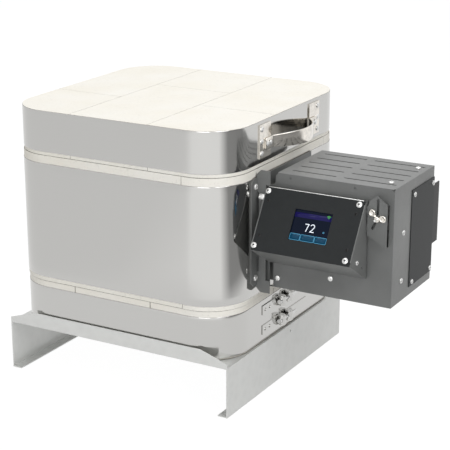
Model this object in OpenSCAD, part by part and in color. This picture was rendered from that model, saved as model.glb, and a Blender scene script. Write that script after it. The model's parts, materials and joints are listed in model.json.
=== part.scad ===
// Bench top annealing kiln: a brick floor, a brick chamber ring and a brick lid, each clasped by
// a polished steel band, stacked on a sheet steel stand, with a control box on the right side.
// The kiln is drawn round its own middle and then shifted, so the origin lies under the middle
// of the whole object's box, on the surface that the stand rests on.

/* [Kiln body] */
// Width and depth of the chamber ring over its steel
body_w = 330; // [322:1:340]
// How much narrower the floor and the lid are than the chamber ring
end_step = 1.6; // [0:0.2:3]
// Radius of the upright corners
corner_r = 58; // [50:1:60]
// Side of the square firing chamber
cavity_w = 203; // [190:1:208]
// Height of the floor section
floor_h = 66.2; // [58:0.2:76]
// Height of the chamber ring
chamber_h = 170.9; // [165:0.5:190]
// Height of the lid section
lid_h = 58.2; // [52:0.2:72]
// Gap between the lid and the chamber ring
lid_gap = 0.3; // [0.2:0.1:1]
// Mortar joint between two bricks
joint_t = 0.4; // [0.2:0.1:1]
// Thickness of the polished steel bands
band_t = 0.6; // [0.4:0.1:1]
// Clearance between a band and the brick behind it
band_clear = 0.05; // [0.02:0.01:0.1]
// Brick left bare below the floor band
floor_bare_low = 2.2; // [1:0.2:4]
// Brick left bare above the floor band
floor_bare_top = 8.5; // [4:0.5:12]
// Brick left bare below the chamber band
chamber_bare_low = 5.9; // [3:0.1:9]
// Brick left bare above the chamber band
chamber_bare_top = 10.7; // [6:0.1:14]
// Brick left bare below the lid band
lid_bare_low = 4.5; // [2:0.1:7]
// Brick left bare above the lid band
lid_bare_top = 0.5; // [0.3:0.1:2]

/* [Brick layout] */
// First lengthwise joint of the lid and floor bricks, from the centre
joint_left_x = -62.7; // [-70:0.5:-55]
// Second lengthwise joint
joint_right_x = 52.8; // [45:0.5:60]
// Cross joint of the left column
joint_left_y = -45.7; // [-60:0.5:-30]
// Cross joint of the middle column
joint_mid_y = 43.2; // [30:0.5:60]
// Cross joint of the right column
joint_right_y = -38.7; // [-60:0.5:-30]

/* [Heating elements] */
// Outer diameter of an element coil
coil_d = 6; // [5:0.5:7]
// Diameter of the groove that holds a coil
groove_d = 10; // [9:0.5:12]
// Opening of the groove towards the chamber
groove_mouth = 7; // [6:0.5:8]
// Height of the lower element above the floor of the chamber
element_low = 45; // [35:1:60]
// Height of the upper element above the floor of the chamber
element_high = 120; // [100:1:130]
// Distance between the two tails of an element
tail_pitch = 24; // [20:1:30]
// Diameter of an element tail
tail_d = 3; // [2:0.5:4]
// Outer diameter of a ceramic bushing
bushing_d = 9; // [8:0.5:10]

/* [Thermocouple] */
// Diameter of the probe
probe_d = 6; // [4:0.5:8]
// Length of the probe inside the chamber
probe_reach = 25; // [15:1:40]
// Height of the probe above the floor of the chamber
probe_z = 84; // [75:1:90]
// Place of the probe from the centre line
probe_y = -30; // [-40:1:-25]

/* [Stand] */
// How far each leg stands outside the chamber ring
stand_side = 2.3; // [1:0.1:8]
// How far the front lip stands ahead of the chamber ring
stand_ahead = 2.8; // [2.4:0.1:8]
// How far the deck stops short of the back of the chamber ring
stand_short = 3.8; // [0:0.2:10]
// Height of the deck
deck_h = 67.3; // [50:0.5:90]
// Thickness of the sheet
stand_t = 1.5; // [1:0.1:3]
// Width of the inward foot flange
foot_w = 14; // [8:1:25]
// Height of the front lip over the deck
lip_h = 18; // [12:0.5:25]
// Length of the sloping ends of the lip
lip_slope = 40; // [25:1:60]
// Height of the lip at its ends
lip_end_h = 5.5; // [3:0.5:8]
// Diameter of the small hole in each leg
leg_hole_d = 3.2; // [2:0.2:5]

/* [Band clamps] */
// Height of a clamp strap
strap_h = 12.5; // [10:0.5:14]
// Thickness of a clamp strap
strap_t = 1; // [0.8:0.1:1.5]
// Diameter of the trunnion pins
trunnion_d = 8; // [7:0.5:9]
// Diameter of the clamp bolts
clamp_bolt_d = 4; // [3:0.5:5]
// Distance between the two trunnions of a clamp
trunnion_pitch = 20; // [18:1:28]
// Height of the lower floor clamp over the deck
floor_clamp_low = 17; // [12:1:20]
// Height of the upper floor clamp over the deck
floor_clamp_high = 44; // [38:1:47]

/* [Lid handles] */
// Half the distance between the inner edges of the two handle plates
plate_inner_y = 54; // [50:1:60]
// Width of a handle plate
plate_w = 29; // [25:1:32]
// Height of a handle plate
plate_h = 43; // [38:1:46]
// Height of the lower edge of a handle plate above the lid underside
plate_z = 10.5; // [8:0.5:12]
// Thickness of a handle plate
plate_t = 1.5; // [1:0.1:2]
// Height of the handle strip
grip_h = 17; // [14:0.5:20]
// Thickness of the handle strip
grip_t = 2.5; // [2:0.1:4]
// How far the handle strip bows out from its plates
grip_bow = 23; // [18:1:30]
// Diameter of the rivets
rivet_d = 5; // [4:0.5:6]

/* [Control box] */
// Gap between the steel of the kiln and the left end of the box
box_gap = 24.5; // [22:0.5:30]
// Width of the box
box_w = 156.2; // [152:0.1:170]
// Front face of the box, in front of the centre of the kiln
box_front = 81.6; // [75:0.2:90]
// Depth of the box
box_d = 126.6; // [120:0.5:140]
// Underside of the box above the surface that the stand rests on
box_z = 151.7; // [149:0.1:156]
// Height of the box
box_h = 149.6; // [148:0.1:152]
// Thickness of the sheet of the box
box_t = 1.5; // [1:0.1:2]
// Number of rows of cooling slots
slot_rows = 5; // [3:1:5]
// Spacing of the rows
slot_pitch = 23; // [20:0.5:24]
// Width of a cooling slot
slot_w = 3; // [2:0.2:4]
// Length of the slots in the left column
slot_left_l = 60; // [50:1:64]
// Length of the slots in the right column
slot_right_l = 69; // [60:1:72]
// How far the ear of the front panel reaches left of the box
panel_ear = 15.5; // [14:0.5:17]

/* [Display pod] */
// Left edge of the pod from the left end of the box
pod_inset = -10; // [-11:0.2:-8]
// Width of the pod
pod_w = 133.8; // [130:0.2:136]
// Height of the tilted face
face_h = 81.9; // [78:0.1:86]
// Angle of the face from upright
face_tilt = 31.8; // [25:0.1:36]
// Distance from the top of the face down to the top of the box
pod_drop = 16.4; // [14:0.2:20]
// Gap between the back of the pod and the box
pod_gap = 3; // [2.6:0.1:4]
// Depth of the pod at its top
pod_top_d = 5.4; // [4:0.2:8]
// Thickness of the face plate
face_t = 2; // [1.5:0.1:2.5]
// Thickness of the sheet of the pod
pod_t = 1.2; // [1:0.1:1.5]
// Width of the display window
screen_w = 50; // [44:1:56]
// Height of the display window
screen_h = 39; // [32:1:40]
// Left edge of the display window from the left edge of the pod
screen_x = 46.2; // [42:0.2:50]
// Lower edge of the display window above the lower edge of the face
screen_y = 20.8; // [18:0.2:24]
// How far the pod slides down when its wing nut is loose
pod_travel = 22; // [12:1:22]
// Width of the slotted ear
ear_w = 25.5; // [24:0.1:27]
// Height of the slotted ear
ear_h = 62.8; // [60:0.2:66]
// Gap between the ear and the box
ear_gap = 6; // [5:0.5:8]
// Width of the slot in the ear
ear_slot_w = 3.4; // [3.2:0.1:3.6]
// Length of the upright part of the slot
ear_slot_l = 23; // [22:0.5:24]
// Diameter of the clamping stud
stud_d = 3; // [2.5:0.1:3]

/* [Fasteners] */
// Diameter of a small screw
screw_d = 3; // [2.5:0.1:4]
// Head diameter of a small screw
head_d = 6; // [5:0.5:7]
// Head height of a small screw
head_h = 2; // [1:0.1:2.5]
// Clearance round a screw or pin
fit = 0.05; // [0.02:0.01:0.08]

/* [Hidden] */

steel_colour = [0.80, 0.80, 0.78];
brick_colour = [0.96, 0.94, 0.88];
charcoal = [0.32, 0.32, 0.33];
galvanised = [0.72, 0.73, 0.73];
bright = [0.88, 0.88, 0.86];
black = [0.07, 0.07, 0.08];
round_fn = 64;
small_fn = 32;
eps = 0.01;

// Levels of the stack
floor_z = deck_h;
chamber_z = floor_z + floor_h;
chamber_top = chamber_z + chamber_h;
lid_z = chamber_top + lid_gap;
lid_top = lid_z + lid_h;
end_w = body_w - end_step;
stand_w = body_w + 2 * stand_side;
stand_front = body_w / 2 + stand_ahead;
stand_back = body_w / 2 - stand_short;
stand_d = stand_front + stand_back;

// Grooves of the heating elements
cavity_half = cavity_w / 2;
groove_x = cavity_half + groove_d / 2;
coil_corner_r = 8;
levels = [chamber_z + element_low, chamber_z + element_high];
bushing_x = cavity_half + groove_d + 2;
bushing_end = body_w / 2 + 9;
terminal_d = 8;
terminal_l = 9;
terminal_x = bushing_end + 0.5;
tail_end = terminal_x + terminal_l - 1;

// Thermocouple
thermo_z = chamber_z + probe_z;
block_w = 20;
block_l = 14;
block_x = body_w / 2 + 2.2;

// Ends of the box along X
box_left = body_w / 2 + box_gap;
box_right = box_left + box_w;
box_back = box_d - box_front;
box_top = box_z + box_h;

// Mounting channel between the kiln and the box: a plate on the steel, a tall wall folded out of
// it in front, and two webs with lips that carry the box
channel_t = 1.5;
channel_x = body_w / 2 + fit;
channel_end = box_left - fit;
channel_wall = box_front + 8.4;
channel_wall_end = box_left - 5.2;
channel_wall_neck = box_left + pod_inset - 1;
channel_foot_top = box_z + 9.3;
channel_wall_low = box_z - 7.2;
channel_wall_top = box_top + 2.7;
channel_web = 66;
channel_back = 38;
channel_plate_front = body_w / 2 - corner_r - 2;
channel_plate_back = 60;
channel_low = box_z + 2.3;
channel_top = box_top - 7.3;
channel_web_top = box_top - 30;
channel_chamfer = 6;
channel_head_low = box_top - pod_drop + 1.4;
channel_lip = 12;
fold_slot_w = 2.2;
fold_slots = [[box_z + 20, 20], [box_z + 88, 36]];
mount_screw_l = 22;
mount_z = [box_z + 12.5, box_z + 131.5];
mount_yz = [for (y = [-channel_wall - head_d / 2 - 1.6, 49], z = mount_z) [y, z]];

// Control box
panel_left = box_left - panel_ear;
panel_bevel = 5;
panel_slot = [box_left - 9.2, box_z + 1.2, 5.2, 35];
panel_top_left = box_left - 2;
notch_r = 6;
notch_z = box_top - 16;
relief_d = 2.6;
slot_left_x = box_left + 11;
slot_right_x = box_left + 81;
slot_first_y = -box_front + 19.6;
tab_w = 12;
top_screw_xy = [[box_right - 16, -box_front + 27], [box_right - 13, box_back - 22]];
side_screw_yz = [[-box_front + 31, box_z + 88], [-box_front + 29, box_z + 27]];
front_screw_xz = [[box_left + 2, box_z + 12.6], [box_left + 75.2, box_z + 24.7]];
panel_dimple_xz = [[box_left + 18.8, box_top - 4.4], [box_left + 105, box_top - 5.2]];
side_plate_t = 1;
side_plate_y0 = -28;
side_plate_y1 = box_back;
side_plate_z0 = box_z + 11;
side_plate_z1 = box_top - 14;
side_plate_yz = [[side_plate_y0 + 8, side_plate_z0 + 5], [side_plate_y0 + 8, side_plate_z1 - 7],
    [side_plate_y1 - 5, side_plate_z0 + 5], [side_plate_y1 - 5, side_plate_z1 - 7]];

// Parts inside and behind the box
sink_l = 118;
sink_d = 20;
sink_z0 = box_z + 46;
sink_h = 79;
sink_base = 4;
fin_t = 1.6;
fins = 13;
relay_size = [58, 22, 45];
transformer_size = [50, 42, 44];
block_size = [60, 20, 16];
board_size = [90, 14];
inlet_d = 16;
inlet_y = 28;
inlet_z = box_z + 22;

// Display pod: the face runs from its top edge down to its bottom edge
function face_dir() = [sin(face_tilt), cos(face_tilt)];
function face_normal() = [-cos(face_tilt), sin(face_tilt)];
pod_x0 = box_left + pod_inset;
pod_x1 = pod_x0 + pod_w;
pod_back_y = -box_front - pod_gap;
face_top = [pod_back_y - pod_top_d, box_top - pod_drop];
face_bottom = face_top - face_h * face_dir();
pod_heel = [pod_back_y, face_bottom[1] - (pod_back_y - face_bottom[0]) * tan(face_tilt)];
plate_top = face_top - face_t * face_normal();
plate_bottom = face_bottom - face_t * face_normal();
face_gap = 0.2;
face_inset_x = pod_t + face_gap;
corner_notch = 5;
face_tab = 9;
glass_t = 1.5;
glass_rim = 4;
face_screw_uv = [for (x = [3.9, pod_w - 7.7], y = [6, face_h - 5.6]) [x, y]];
board_screw_uv = [for (x = [7.7, pod_w - 8.8], y = [19.4, face_h - 17.6]) [x, y]];
boss_d = 6;
board_depth = 8;
board_t = 1.6;

// Slotted ear of the pod and its stud
ear_y = -box_front - ear_gap;
ear_t = 1.5;
ear_x0 = pod_x1 + 1.6;
ear_x1 = ear_x0 + ear_w;
ear_top = box_top - 8.1;
ear_bottom = ear_top - ear_h;
ear_peak_x = ear_x0 + 11.5;
ear_shoulder = 10;
ear_foot = 12;
ear_arm_h = 9;
ear_arm_z = [ear_bottom + 17, ear_top - 24];
stud_x = ear_x0 + 13.3;
stud_z = ear_top - 5.4 - ear_slot_l;
slot_leg = [-6.6, -12.8];
tongue_t = 1.5;
tongue_x = ear_x1 - 6.5;
tongue_top = ear_top - 13.4;
tongue_h = 28;
tongue_in = 4;
tongue_clear = 0.4;
panel_slot_w = 6.1;
panel_slot_z1 = tongue_top + 1;
panel_slot_z0 = tongue_top - tongue_h - pod_travel - 1;
wire_window = [box_left + 60, box_z + 75, 30, 18];
collar_d = 8;
nut_gap = 0.3;
nut_hub_d = 8.5;
nut_hub_h = 4.5;
lobe_d = 9.4;
lobe_t = 2.2;
lobe_neck = 4.5;
lobe_xz = [[-6.4, 7.3], [7.3, 1.3]];
nut_y = ear_y - ear_t - nut_gap;
stud_end = nut_y - nut_hub_h - 4;

// Lid handles
grip_y = plate_inner_y - 2;
grip_r = (grip_y * grip_y + grip_bow * grip_bow) / (2 * grip_bow);
grip_angle = asin(grip_y / grip_r);
grip_mid_z = lid_z + 27.5;
handle_x = end_w / 2 + fit;
tab_l = 20;
handle_reach = plate_t + grip_t + grip_bow;
rivet_head_d = 7;
rivet_head_h = 1.6;
rivet_in = 8;
tab_rivet_y = [grip_y + 7, grip_y + 15];
edge_rivet_z = [lid_z + plate_z + 6, lid_z + plate_z + 21.5, lid_z + plate_z + 37];
edge_rivet_y = plate_inner_y + plate_w - 5;

// Clamps: the loop of a strap lies on the face of the band
loop_d = trunnion_d + 2 * strap_t + 2 * fit;
strap_l = 47;
strap_tail_l = 59;
strap_holes = [7, 19];
strap_hole_d = 4.5;
clamp_y = -14;
clamp_rivet_d = 4;
clamp_head_d = 8;
clamp_head_h = 4;
clamp_reach = loop_d;

// The whole object's box, which puts its origin under its middle
side_head = side_plate_t + head_h;
x_low = min(-stand_w / 2, -handle_x - handle_reach);
x_high = max(box_right + side_head, handle_x + handle_reach);
y_low = -max(stand_front, body_w / 2, -face_bottom[0]);
y_high = max(stand_back, body_w / 2 + fit + clamp_reach, box_back + sink_d);
shift = [-(x_low + x_high) / 2, -(y_low + y_high) / 2, 0];

// Rounded square in plan
module plan(w, r) {
    square([w - 2 * r, w], center = true);
    square([w, w - 2 * r], center = true);
    for (sx = [-1, 1], sy = [-1, 1])
        translate([sx * (w / 2 - r), sy * (w / 2 - r)])
            circle(r = r, $fn = 128);
}

module section(w, h) {
    inset = (body_w - w) / 2 + band_t + band_clear;
    linear_extrude(height = h)
        plan(body_w - 2 * inset, corner_r - inset);
}

module band(w, h) {
    inset = (body_w - w) / 2;
    linear_extrude(height = h)
        difference() {
            plan(w, corner_r - inset);
            plan(w - 2 * band_t, corner_r - inset - band_t);
        }
}

// Cylinder along X, Y
module rod_x(d, l) {
    rotate([0, 90, 0])
        cylinder(d = d, h = l, $fn = small_fn);
}

module rod_y(d, l) {
    rotate([-90, 0, 0])
        cylinder(d = d, h = l, $fn = small_fn);
}

// Pan head screw pointing down, its head standing on z = 0
module screw(d, l, hd, hh) {
    translate([0, 0, -l])
        cylinder(d = d, h = l + eps, $fn = small_fn);
    cylinder(d1 = hd, d2 = hd * 0.7, h = hh, $fn = small_fn);
}

module facing_x() {
    rotate([0, 90, 0])
        children();
}

module facing_front() {
    rotate([90, 0, 0])
        children();
}

// Six bricks, cut from one slab along its joints
module brick_slab(w, z, h) {
    half = w / 2 + 1;
    cols = [[-half, joint_left_x, joint_left_y], [joint_left_x, joint_right_x, joint_mid_y],
        [joint_right_x, half, joint_right_y]];
    translate([0, 0, z])
        difference() {
            section(w, h);
            for (x = [joint_left_x, joint_right_x])
                translate([x - joint_t / 2, -half, -1])
                    cube([joint_t, 2 * half, h + 2]);
            for (c = cols)
                translate([c[0], c[2] - joint_t / 2, -1])
                    cube([c[1] - c[0], joint_t, h + 2]);
        }
}

module floor_bricks() {
    color(brick_colour)
        brick_slab(end_w, floor_z, floor_h);
}

module floor_band() {
    color(steel_colour)
        translate([0, 0, floor_z + floor_bare_low])
            band(end_w, floor_h - floor_bare_low - floor_bare_top);
}

module chamber_band() {
    color(steel_colour)
        difference() {
            translate([0, 0, chamber_z + chamber_bare_low])
                band(body_w, chamber_h - chamber_bare_low - chamber_bare_top);
            wall_holes();
        }
}

module lid_bricks() {
    color(brick_colour)
        difference() {
            brick_slab(end_w, lid_z, lid_h);
            rivet_holes();
        }
}

module lid_band() {
    color(steel_colour)
        difference() {
            translate([0, 0, lid_z + lid_bare_low])
                band(end_w, lid_h - lid_bare_low - lid_bare_top);
            rivet_holes();
        }
}

// Chamber wall bricks, each running past one corner of the cavity
module wall_brick(turn) {
    half = body_w / 2 + 1;
    difference() {
        intersection() {
            translate([0, 0, chamber_z])
                section(body_w, chamber_h);
            rotate([0, 0, turn])
                translate([-half, -half, chamber_z])
                    cube([half + cavity_half - joint_t, half - cavity_half, chamber_h]);
        }
        grooves();
        wall_holes();
    }
}

module grooves() {
    run = 2 * groove_x;
    for (z = levels, turn = [0:90:270])
        translate([0, 0, z])
            rotate([0, 0, turn]) {
                translate([-run / 2, -groove_x, 0])
                    rod_x(groove_d, run);
                translate([-groove_x, -groove_x, -groove_mouth / 2])
                    cube([run, groove_d / 2 + 1, groove_mouth]);
            }
}

// Holes through the right hand wall
module wall_holes() {
    for (z = levels, s = [-1, 1])
        translate([cavity_half, s * tail_pitch / 2, z])
            rod_x(bushing_d + 2 * fit, body_w / 2 - cavity_half + 1);
    translate([cavity_half - 1, probe_y, thermo_z])
        rod_x(probe_d + 2 * fit, body_w / 2 - cavity_half + 2);
    for (p = mount_yz)
        translate([body_w / 2 - mount_screw_l, p[0], p[1]])
            rod_x(screw_d + 2 * fit, mount_screw_l + 1);
}

module chamber_brick_front() { color(brick_colour) wall_brick(0); }
module chamber_brick_right() { color(brick_colour) wall_brick(90); }
module chamber_brick_back() { color(brick_colour) wall_brick(180); }
module chamber_brick_left() { color(brick_colour) wall_brick(270); }

// Heating coil as the envelope of its turns, with two straight tails
module element(z) {
    straight = groove_x - coil_corner_r;
    color([0.45, 0.42, 0.40])
        translate([0, 0, z]) {
            for (turn = [180:90:360])
                rotate([0, 0, turn])
                    translate([-straight, -groove_x, 0])
                        rod_x(coil_d, 2 * straight);
            for (s = [-1, 1]) {
                translate([groove_x, s * tail_pitch / 2, 0])
                    rod_x(tail_d, tail_end - groove_x);
                translate([groove_x, s > 0 ? tail_pitch / 2 : -straight, 0])
                    rod_y(coil_d, straight - tail_pitch / 2);
            }
            for (turn = [0:90:270])
                rotate([0, 0, turn])
                    translate([straight, straight, 0])
                        rotate_extrude(angle = 90, $fn = round_fn)
                            translate([coil_corner_r, 0])
                                circle(d = coil_d, $fn = small_fn);
        }
}

module element_lower() { element(levels[0]); }
module element_upper() { element(levels[1]); }

module tail_bushings() {
    color("white")
        for (z = levels, s = [-1, 1])
            translate([bushing_x, s * tail_pitch / 2, z])
                difference() {
                    rod_x(bushing_d, bushing_end - bushing_x);
                    translate([-1, 0, 0])
                        rod_x(tail_d + 2 * fit, bushing_end - bushing_x + 2);
                }
}

module tail_terminals() {
    color([0.80, 0.66, 0.35])
        for (z = levels, s = [-1, 1])
            translate([terminal_x, s * tail_pitch / 2, z])
                difference() {
                    rod_x(terminal_d, terminal_l);
                    translate([-1, 0, 0])
                        rod_x(tail_d + 2 * fit, terminal_l);
                    translate([terminal_l / 2, 0, 0])
                        cylinder(d = 2.5, h = terminal_d, $fn = small_fn);
                }
}

module thermocouple() {
    color([0.85, 0.83, 0.78])
        translate([cavity_half - probe_reach, probe_y, thermo_z]) {
            rod_x(probe_d, block_x + block_l - cavity_half + probe_reach - 2);
            sphere(d = probe_d, $fn = small_fn);
        }
}

module thermocouple_block() {
    color("ivory")
        difference() {
            translate([block_x, probe_y - block_w / 2, thermo_z - block_w / 2])
                cube([block_l, block_w, block_w]);
            translate([block_x - 1, probe_y, thermo_z])
                rod_x(probe_d + 2 * fit, block_l);
            for (s = [-1, 1])
                translate([block_x + block_l / 2, probe_y + s * 5, thermo_z + 5])
                    cylinder(d = 3, h = block_w, $fn = small_fn);
        }
}

// Stand: one folded sheet
module stand() {
    y0 = -stand_front;
    ramp = stand_w / 2 - lip_slope;
    color(galvanised)
        difference() {
            union() {
                translate([-stand_w / 2, y0, deck_h - stand_t])
                    cube([stand_w, stand_d, stand_t]);
                for (s = [-1, 1]) {
                    translate([s * (stand_w / 2 - stand_t / 2) - stand_t / 2, y0, 0])
                        cube([stand_t, stand_d, deck_h]);
                    translate([s * (stand_w / 2 - foot_w / 2) - foot_w / 2, y0, 0])
                        cube([foot_w, stand_d, stand_t]);
                }
                translate([0, y0 + stand_t, deck_h - stand_t])
                    facing_front()
                        linear_extrude(height = stand_t)
                            polygon([[-stand_w / 2, 0], [stand_w / 2, 0],
                                [stand_w / 2, lip_end_h + stand_t], [ramp, lip_h + stand_t],
                                [-ramp, lip_h + stand_t], [-stand_w / 2, lip_end_h + stand_t]]);
            }
            for (s = [-1, 1])
                translate([s * stand_w / 2 - 3, 5, deck_h - 9])
                    rod_x(leg_hole_d, 6);
        }
}

// Clamp in a local frame: X along the face, Z up, the face at y = 0 and outward at -Y
module clamp_straps() {
    half = trunnion_pitch / 2;
    for (s = [-1, 1])
        difference() {
            union() {
                translate([s < 0 ? -half - strap_l : half, -strap_t, -strap_h / 2])
                    cube([s < 0 ? strap_l : strap_tail_l, strap_t, strap_h]);
                translate([s * half, -loop_d / 2, -strap_h / 2])
                    cylinder(d = loop_d, h = strap_h, $fn = round_fn);
            }
            translate([s * half, -loop_d / 2, -strap_h / 2 - 1])
                cylinder(d = trunnion_d + 2 * fit, h = strap_h + 2, $fn = round_fn);
            translate([s * half - loop_d, -loop_d / 2 - 3, -3])
                cube([2 * loop_d, 6, 6]);
            for (x = strap_holes)
                translate([-half - strap_l + x, -2 * strap_t, 0])
                    rod_y(strap_hole_d, 3 * strap_t);
        }
}

module clamp_trunnions() {
    half = trunnion_pitch / 2;
    for (s = [-1, 1])
        difference() {
            translate([s * half, -loop_d / 2, -strap_h / 2 - 1])
                cylinder(d = trunnion_d, h = strap_h + 2, $fn = round_fn);
            translate([s * half - trunnion_d, -loop_d / 2, 0])
                rod_x(clamp_bolt_d + 2 * fit, 2 * trunnion_d);
        }
}

module clamp_bolts() {
    half = trunnion_pitch / 2;
    run = trunnion_pitch + 2 * trunnion_d + 8;
    translate([-half - trunnion_d / 2 - 0.5, -loop_d / 2, 0]) {
        rod_x(clamp_bolt_d, run);
        translate([-clamp_head_h, 0, 0])
            rod_x(clamp_head_d - 2.2, clamp_head_h + eps);
    }
    translate([half + trunnion_d / 2 + 0.5, -loop_d / 2, 0])
        rod_x(clamp_head_d - 2.2, clamp_head_h);
}

// Where the clamps of each section lie
module on_right(w, z) {
    translate([w / 2 + fit, clamp_y, z])
        rotate([0, 0, 90])
            children();
}

module on_back(w, z) {
    translate([0, w / 2 + fit, z])
        rotate([0, 0, 180])
            children();
}

floor_clamp_z = [floor_z + floor_clamp_low, floor_z + floor_clamp_high];
chamber_clamp_z = [chamber_z + 40, chamber_z + 120];
lid_clamp_z = lid_z + lid_h / 2;

module floor_clamp_straps() {
    color(bright)
        for (z = floor_clamp_z)
            on_right(end_w, z)
                clamp_straps();
}

module floor_clamp_trunnions() {
    color(bright)
        for (z = floor_clamp_z)
            on_right(end_w, z)
                clamp_trunnions();
}

module floor_clamp_bolts() {
    color(galvanised)
        for (z = floor_clamp_z)
            on_right(end_w, z)
                clamp_bolts();
}

module chamber_clamp_straps() {
    color(bright)
        for (z = chamber_clamp_z)
            on_back(body_w, z)
                clamp_straps();
}

module chamber_clamp_trunnions() {
    color(bright)
        for (z = chamber_clamp_z)
            on_back(body_w, z)
                clamp_trunnions();
}

module chamber_clamp_bolts() {
    color(galvanised)
        for (z = chamber_clamp_z)
            on_back(body_w, z)
                clamp_bolts();
}

module lid_clamp_straps() {
    color(bright)
        on_back(end_w, lid_clamp_z)
            clamp_straps();
}

module lid_clamp_trunnions() {
    color(bright)
        on_back(end_w, lid_clamp_z)
            clamp_trunnions();
}

module lid_clamp_bolts() {
    color(galvanised)
        on_back(end_w, lid_clamp_z)
            clamp_bolts();
}

// Handle parts are drawn on the right side and mirrored to the left
module both_sides() {
    children();
    mirror([1, 0, 0])
        children();
}

module both_ends() {
    children();
    mirror([0, 1, 0])
        children();
}

module handle_plates() {
    color(bright)
        difference() {
            both_sides()
                both_ends()
                    translate([handle_x, plate_inner_y, lid_z + plate_z])
                        cube([plate_t, plate_w, plate_h]);
            rivet_holes();
        }
}

module grip() {
    color(bright)
        difference() {
            union() {
                intersection() {
                    translate([handle_x + plate_t + grip_t + grip_bow - grip_r, 0, grip_mid_z])
                        rotate([0, 0, -grip_angle])
                            rotate_extrude(angle = 2 * grip_angle, $fn = 128)
                                translate([grip_r - grip_t, -grip_h / 2])
                                    square([grip_t, grip_h]);
                    translate([handle_x + plate_t + fit, -grip_y - 1, lid_z])
                        cube([grip_bow + grip_t + 1, 2 * grip_y + 2, lid_h]);
                }
                both_ends()
                    translate([handle_x + plate_t + fit, grip_y - 1, grip_mid_z - grip_h / 2])
                        cube([grip_t, tab_l, grip_h]);
            }
            rivet_holes();
        }
}

module handle_grip_right() { grip(); }

module handle_grip_left() {
    mirror([1, 0, 0])
        grip();
}

module at_rivets() {
    both_sides()
        both_ends() {
            for (y = tab_rivet_y)
                translate([handle_x + plate_t + fit + grip_t, y, grip_mid_z])
                    facing_x()
                        children();
            for (z = edge_rivet_z)
                translate([handle_x + plate_t, edge_rivet_y, z])
                    facing_x()
                        children();
        }
}

module rivet_holes() {
    at_rivets()
        translate([0, 0, -rivet_in - grip_t - plate_t])
            cylinder(d = rivet_d - 1.5 + 2 * fit, h = rivet_in + grip_t + plate_t + 1,
                $fn = small_fn);
}

module handle_rivets() {
    color(bright)
        at_rivets()
            screw(rivet_d - 1.5, rivet_in, rivet_head_d, rivet_head_h);
}

// Channel that carries the box on the kiln and takes the wires across
module mount_channel() {
    out = channel_wall_end - channel_x;
    neck = channel_wall_neck - channel_x;
    color(charcoal)
        difference() {
            union() {
                translate([channel_x + channel_t, 0, 0])
                    rotate([0, -90, 0])
                        linear_extrude(height = channel_t)
                            polygon([[channel_low + channel_chamfer, -channel_plate_front],
                                [channel_top - channel_chamfer, -channel_plate_front],
                                [channel_top, -channel_plate_front + channel_chamfer],
                                [channel_top, channel_plate_back],
                                [channel_low, channel_plate_back],
                                [channel_low, -channel_plate_front + channel_chamfer]]);
                translate([channel_x, -channel_wall + channel_t, 0])
                    facing_front()
                        linear_extrude(height = channel_t)
                            polygon([[0, channel_wall_low + channel_chamfer],
                                [channel_chamfer, channel_wall_low], [out, channel_wall_low],
                                [out, channel_foot_top], [neck, channel_foot_top],
                                [neck, channel_head_low], [out, channel_head_low],
                                [out, channel_wall_top], [channel_chamfer, channel_wall_top],
                                [0, channel_wall_top - channel_chamfer]]);
                for (y = [-channel_web, channel_back - channel_t])
                    translate([channel_x, y, channel_low])
                        cube([channel_end - channel_x, channel_t, channel_web_top - channel_low]);
                for (y = [-channel_web, channel_back - channel_lip])
                    translate([channel_end - channel_t, y, channel_low])
                        cube([channel_t, channel_lip, channel_web_top - channel_low]);
            }
            for (z = levels, s = [-1, 1])
                translate([channel_x - 1, s * tail_pitch / 2, z])
                    rod_x(bushing_d + 2 * fit, channel_t + 2);
            translate([channel_x - 1, probe_y, thermo_z])
                rod_x(probe_d + 2 * fit, channel_t + 2);
            for (p = mount_yz)
                translate([channel_x - 1, p[0], p[1]])
                    rod_x(screw_d + 2 * fit, channel_t + 2);
            for (f = fold_slots)
                translate([channel_x + channel_t, -channel_wall - 1, f[0]])
                    cube([fold_slot_w, channel_t + 2, f[1]]);
        }
}

module mount_screws() {
    color(bright)
        for (p = mount_yz)
            translate([channel_x + channel_t, p[0], p[1]])
                facing_x()
                    screw(screw_d, mount_screw_l - 2, head_d + 2, head_h + 0.6);
}

// Front panel outline, cut away beside the kiln above its ear
module panel_outline() {
    polygon([[panel_left, notch_z], [panel_left, box_z + panel_bevel],
        [panel_left + panel_bevel, box_z], [box_right, box_z],
        [box_right, box_top], [panel_top_left + notch_r, box_top],
        [panel_top_left, box_top - notch_r], [panel_top_left, notch_z]]);
    translate([panel_top_left + notch_r, box_top - notch_r])
        circle(r = notch_r, $fn = round_fn);
    difference() {
        translate([panel_top_left - notch_r, notch_z - eps])
            square([notch_r + eps, notch_r + eps]);
        translate([panel_top_left - notch_r, notch_z + notch_r])
            circle(r = notch_r, $fn = round_fn);
    }
}

// Relief where the folds of the front, the top and the side meet: a hole, open at the corner
module corner_relief() {
    translate([box_right - relief_d / 2, -box_front - 1, box_top - relief_d / 2]) {
        rod_y(relief_d, box_t + 3);
        cube([relief_d, box_t + 3, relief_d]);
    }
}

module box_holes() {
    for (p = top_screw_xy)
        translate([p[0], p[1], box_top - 8])
            cylinder(d = screw_d + 2 * fit, h = 10, $fn = small_fn);
    for (p = side_screw_yz)
        translate([box_right - 8, p[0], p[1]])
            rod_x(screw_d + 2 * fit, 10);
    for (p = front_screw_xz)
        translate([p[0], -box_front - 1, p[1]])
            rod_y(screw_d + 2 * fit, 10);
    for (p = panel_dimple_xz)
        translate([p[0], -box_front - 1, p[1]])
            rod_y(screw_d, box_t + 1 - 0.5);
    corner_relief();
}

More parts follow.
